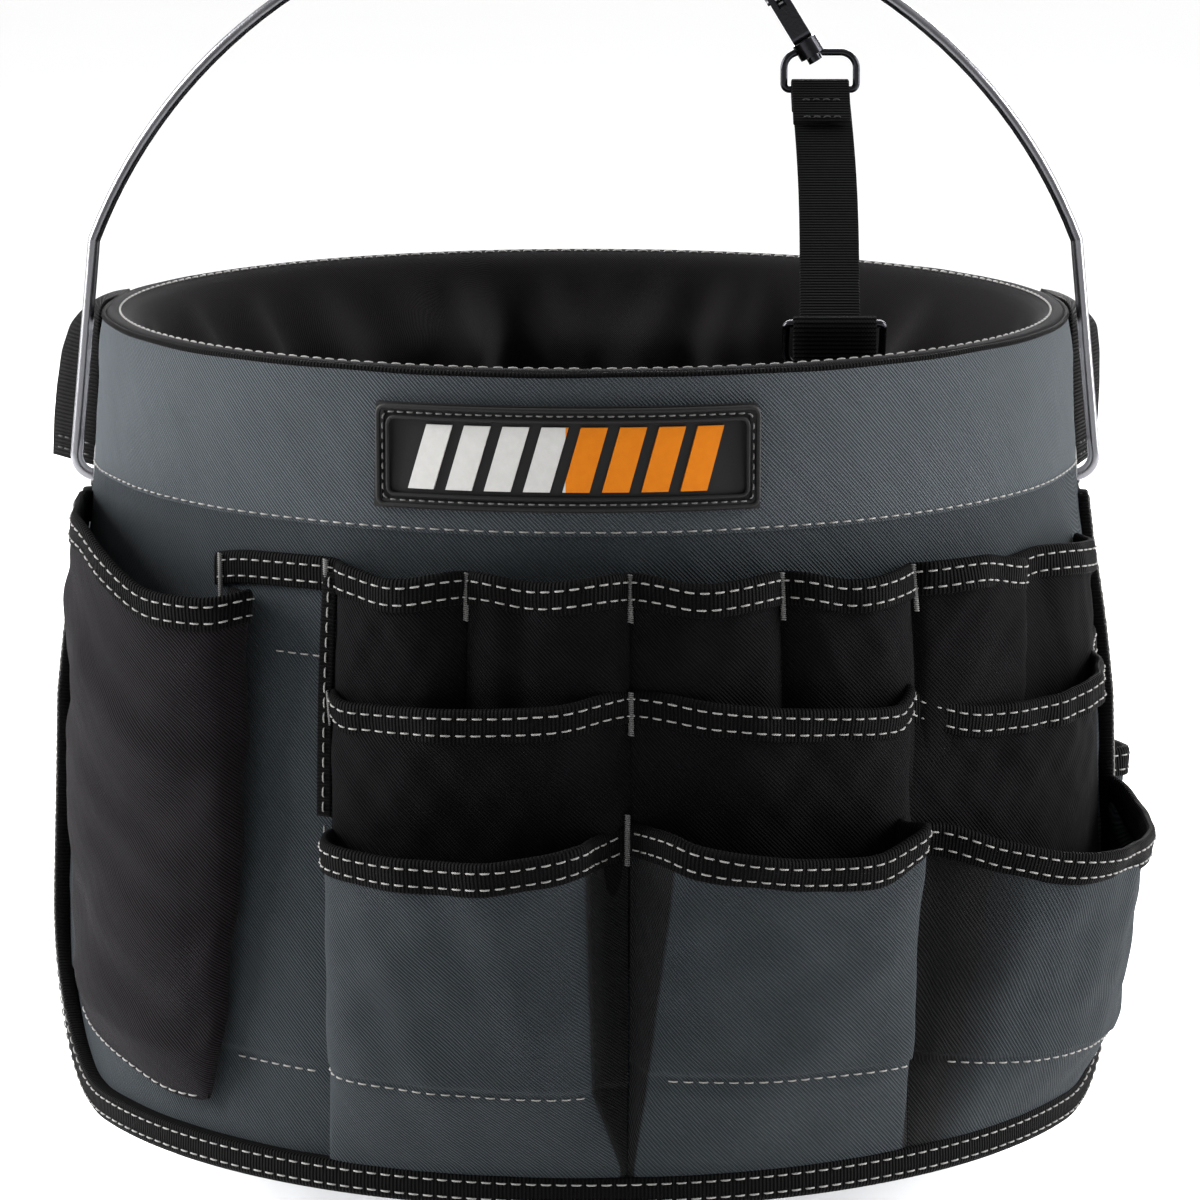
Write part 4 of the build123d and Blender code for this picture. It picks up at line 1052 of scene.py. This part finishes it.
# y and z down the webbing, from the ring's bar to the lining
TETHER_RUN = [(0, 441.7), (-25, 424.6), (-50, 407.4), (-75, 390), (-94, 376.4), (-100.6, 366), (-103, 350),
              (-105.5, 334), (-111, 317)]
X_AXIS = np.array([1.0, 0.0, 0.0])


def x_ribbon(name, path, width, thickness, body=None):
    """A ribbon of the tether's webbing whose width lies along x."""
    return ribbon(name, path, np.tile(X_AXIS, (len(path), 1)), width, thickness, STRAP, body)


def blended(piece):
    """Writes the transform of a piece of the tether into its mesh."""
    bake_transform(piece)
    return piece


yz = evenly(np.array(TETHER_RUN, float), 150)
sway = 0.8 * np.sin(np.linspace(0, 2 * math.pi, 150))
path = smooth_rows(np.concatenate([(TETHER_X + sway)[:, None], yz], axis=1), 18)
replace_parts(blended(x_ribbon("strap_webbing_band", path, TETHER_WIDTH, TETHER_THICK)), "strap_webbing")

# its top end turns round the bar and comes back on the other face
down_dir = unit(np.array([0.0, -25.0, -17.1]))
face_dir = np.array([0.0, down_dir[2], -down_dir[1]])
wrap = [RING_BAR + down_dir * d + face_dir * WRAP_R for d in np.linspace(20, 1, 16)]
wrap += [RING_BAR + (face_dir * math.cos(turn) - down_dir * math.sin(turn)) * WRAP_R
         for turn in np.linspace(0, math.pi, 14)]
wrap += [RING_BAR + down_dir * d - face_dir * (WRAP_R - 0.1 * min(d, 4)) for d in np.linspace(1, 8, 7)]
wrap = smooth_rows(np.array(wrap), 1)
blended(x_ribbon("strap_top_loop", wrap, TETHER_WIDTH, TETHER_THICK))
rows = [(RING_BAR + down_dir * d + face_dir * 3.45 + np.linspace(-7.6, 7.6, 7)[:, None] * X_AXIS,
         np.tile(face_dir, (7, 1))) for d in (9.5, 18.0)]
blended(stitches("strap_top_stitches", rows, DARK_THREAD, body=None, pitch=3.2, length=2.3))

(tab_left, tab_right), (near, far), (low, high) = box_mm("anchor_tab")
loop = [(near + 0.9, low), (near + 0.9, low + 14), (near + 0.9, high - 5), (near + 1.6, high - 2.2),
        ((near + far) / 2, high - 0.9), (far - 1.6, high - 2.4), (far - 0.9, high - 6),
        (far - 1.2, low + 20), (far - 3.2, low + 8), (far - 3.4, low)]
yz = evenly(np.array(loop), 90)
path = smooth_rows(np.concatenate([np.full((90, 1), (tab_left + tab_right) / 2), yz], axis=1), 6)
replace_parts(x_ribbon("anchor_tab_webbing", path, tab_right - tab_left, 1.5, "pail"), "anchor_tab")

# ---- finishes of the CAD parts that stay ----
for material, nodes in ((PAIL, ("pail_shell",)), (WIRE, ("bail_wire",)), (GRIP, ("bail_grip",)),
                        (NICKEL, ("hook_body", "swivel_stud", "strap_ring", "anchor_ring")),
                        (STEEL, ("gate_rivet", "gate_spring", "hook_gate"))):
    for node in nodes:
        finish_node(node, material)

# ---- room, light and camera ----
FRONT_LIGHT, ROOM_LIGHT = 0.46, 1.0  # brightness of the room in front of the object and behind it
FLOOR_HALF = 9
SENSOR_WIDTH = 36.0
LENS = 152.6
SHIFT = (0.0122, -0.0615)
TARGET = Vector((0, 0, 0.300))
DISTANCE, RAISE = 1.65, math.radians(9.8)
WHITE = (1.0, 1.0, 1.0, 1.0)

floor_mesh = bpy.data.meshes.new("floor")
corners = [(x * FLOOR_HALF, y * FLOOR_HALF, 0) for x, y in ((-1, -1), (1, -1), (1, 1), (-1, 1))]
floor_mesh.from_pydata(corners, [], [(0, 1, 2, 3)])
paint = Finish("studio_floor")
tone = paint.mix(paint.noise(3.0), (0.9, 0.9, 0.9, 1), (0.93, 0.93, 0.93, 1))
floor_mesh.materials.append(paint.end(Base_Color=tone, Roughness=0.6, Emission_Color=WHITE,
                                      Emission_Strength=0.16))
floor = bpy.data.objects.new("floor", floor_mesh)
bpy.context.scene.collection.objects.link(floor)

world = bpy.data.worlds.new("studio")
world.use_nodes = True
sky = world.node_tree
towards = sky.nodes.new("ShaderNodeSeparateXYZ")
sky.links.new(sky.nodes.new("ShaderNodeTexCoord").outputs["Generated"], towards.inputs[0])
brightness = sky.nodes.new("ShaderNodeMapRange")
for socket, value in (("From Min", -0.9), ("From Max", 0.1), ("To Min", FRONT_LIGHT),
                      ("To Max", ROOM_LIGHT)):
    brightness.inputs[socket].default_value = value
sky.links.new(towards.outputs["Y"], brightness.inputs["Value"])
sky.links.new(brightness.outputs[0], sky.nodes["Background"].inputs["Strength"])
sky.nodes["Background"].inputs["Color"].default_value = WHITE
bpy.context.scene.world = world


def aim(obj, at, target):
    obj.location = at
    obj.rotation_euler = (Vector(target) - Vector(at)).to_track_quat("-Z", "Y").to_euler()
    bpy.context.scene.collection.objects.link(obj)


for name, at, aim_z, size, watts in (("key_softbox", (-2.1, 0.15, 1.1), 0.25, (1.3, 1.6), 130),
                                     ("side_softbox", (2.1, 0.1, 0.9), 0.25, (1.0, 1.5), 90),
                                     ("top_softbox", (0.2, 0.6, 2.3), 0.3, (1.6, 1.2), 18),
                                     ("back_softbox", (0.3, 2.3, 1.1), 0.3, (1.4, 1.0), 45)):
    light = bpy.data.lights.new(name, "AREA")
    light.shape = "RECTANGLE"
    light.size, light.size_y = size
    light.energy = watts
    aim(bpy.data.objects.new(name, light), at, (0, 0, aim_z))

camera_data = bpy.data.cameras.new("camera")
camera_data.lens, camera_data.sensor_width = LENS, SENSOR_WIDTH
camera_data.shift_x, camera_data.shift_y = SHIFT
camera_data.clip_start = 0.01
camera = bpy.data.objects.new("camera", camera_data)
aim(camera, TARGET + DISTANCE * Vector((0, -math.cos(RAISE), math.sin(RAISE))), TARGET)
bpy.context.scene.camera = camera
bpy.context.scene.view_settings.view_transform = "Standard"
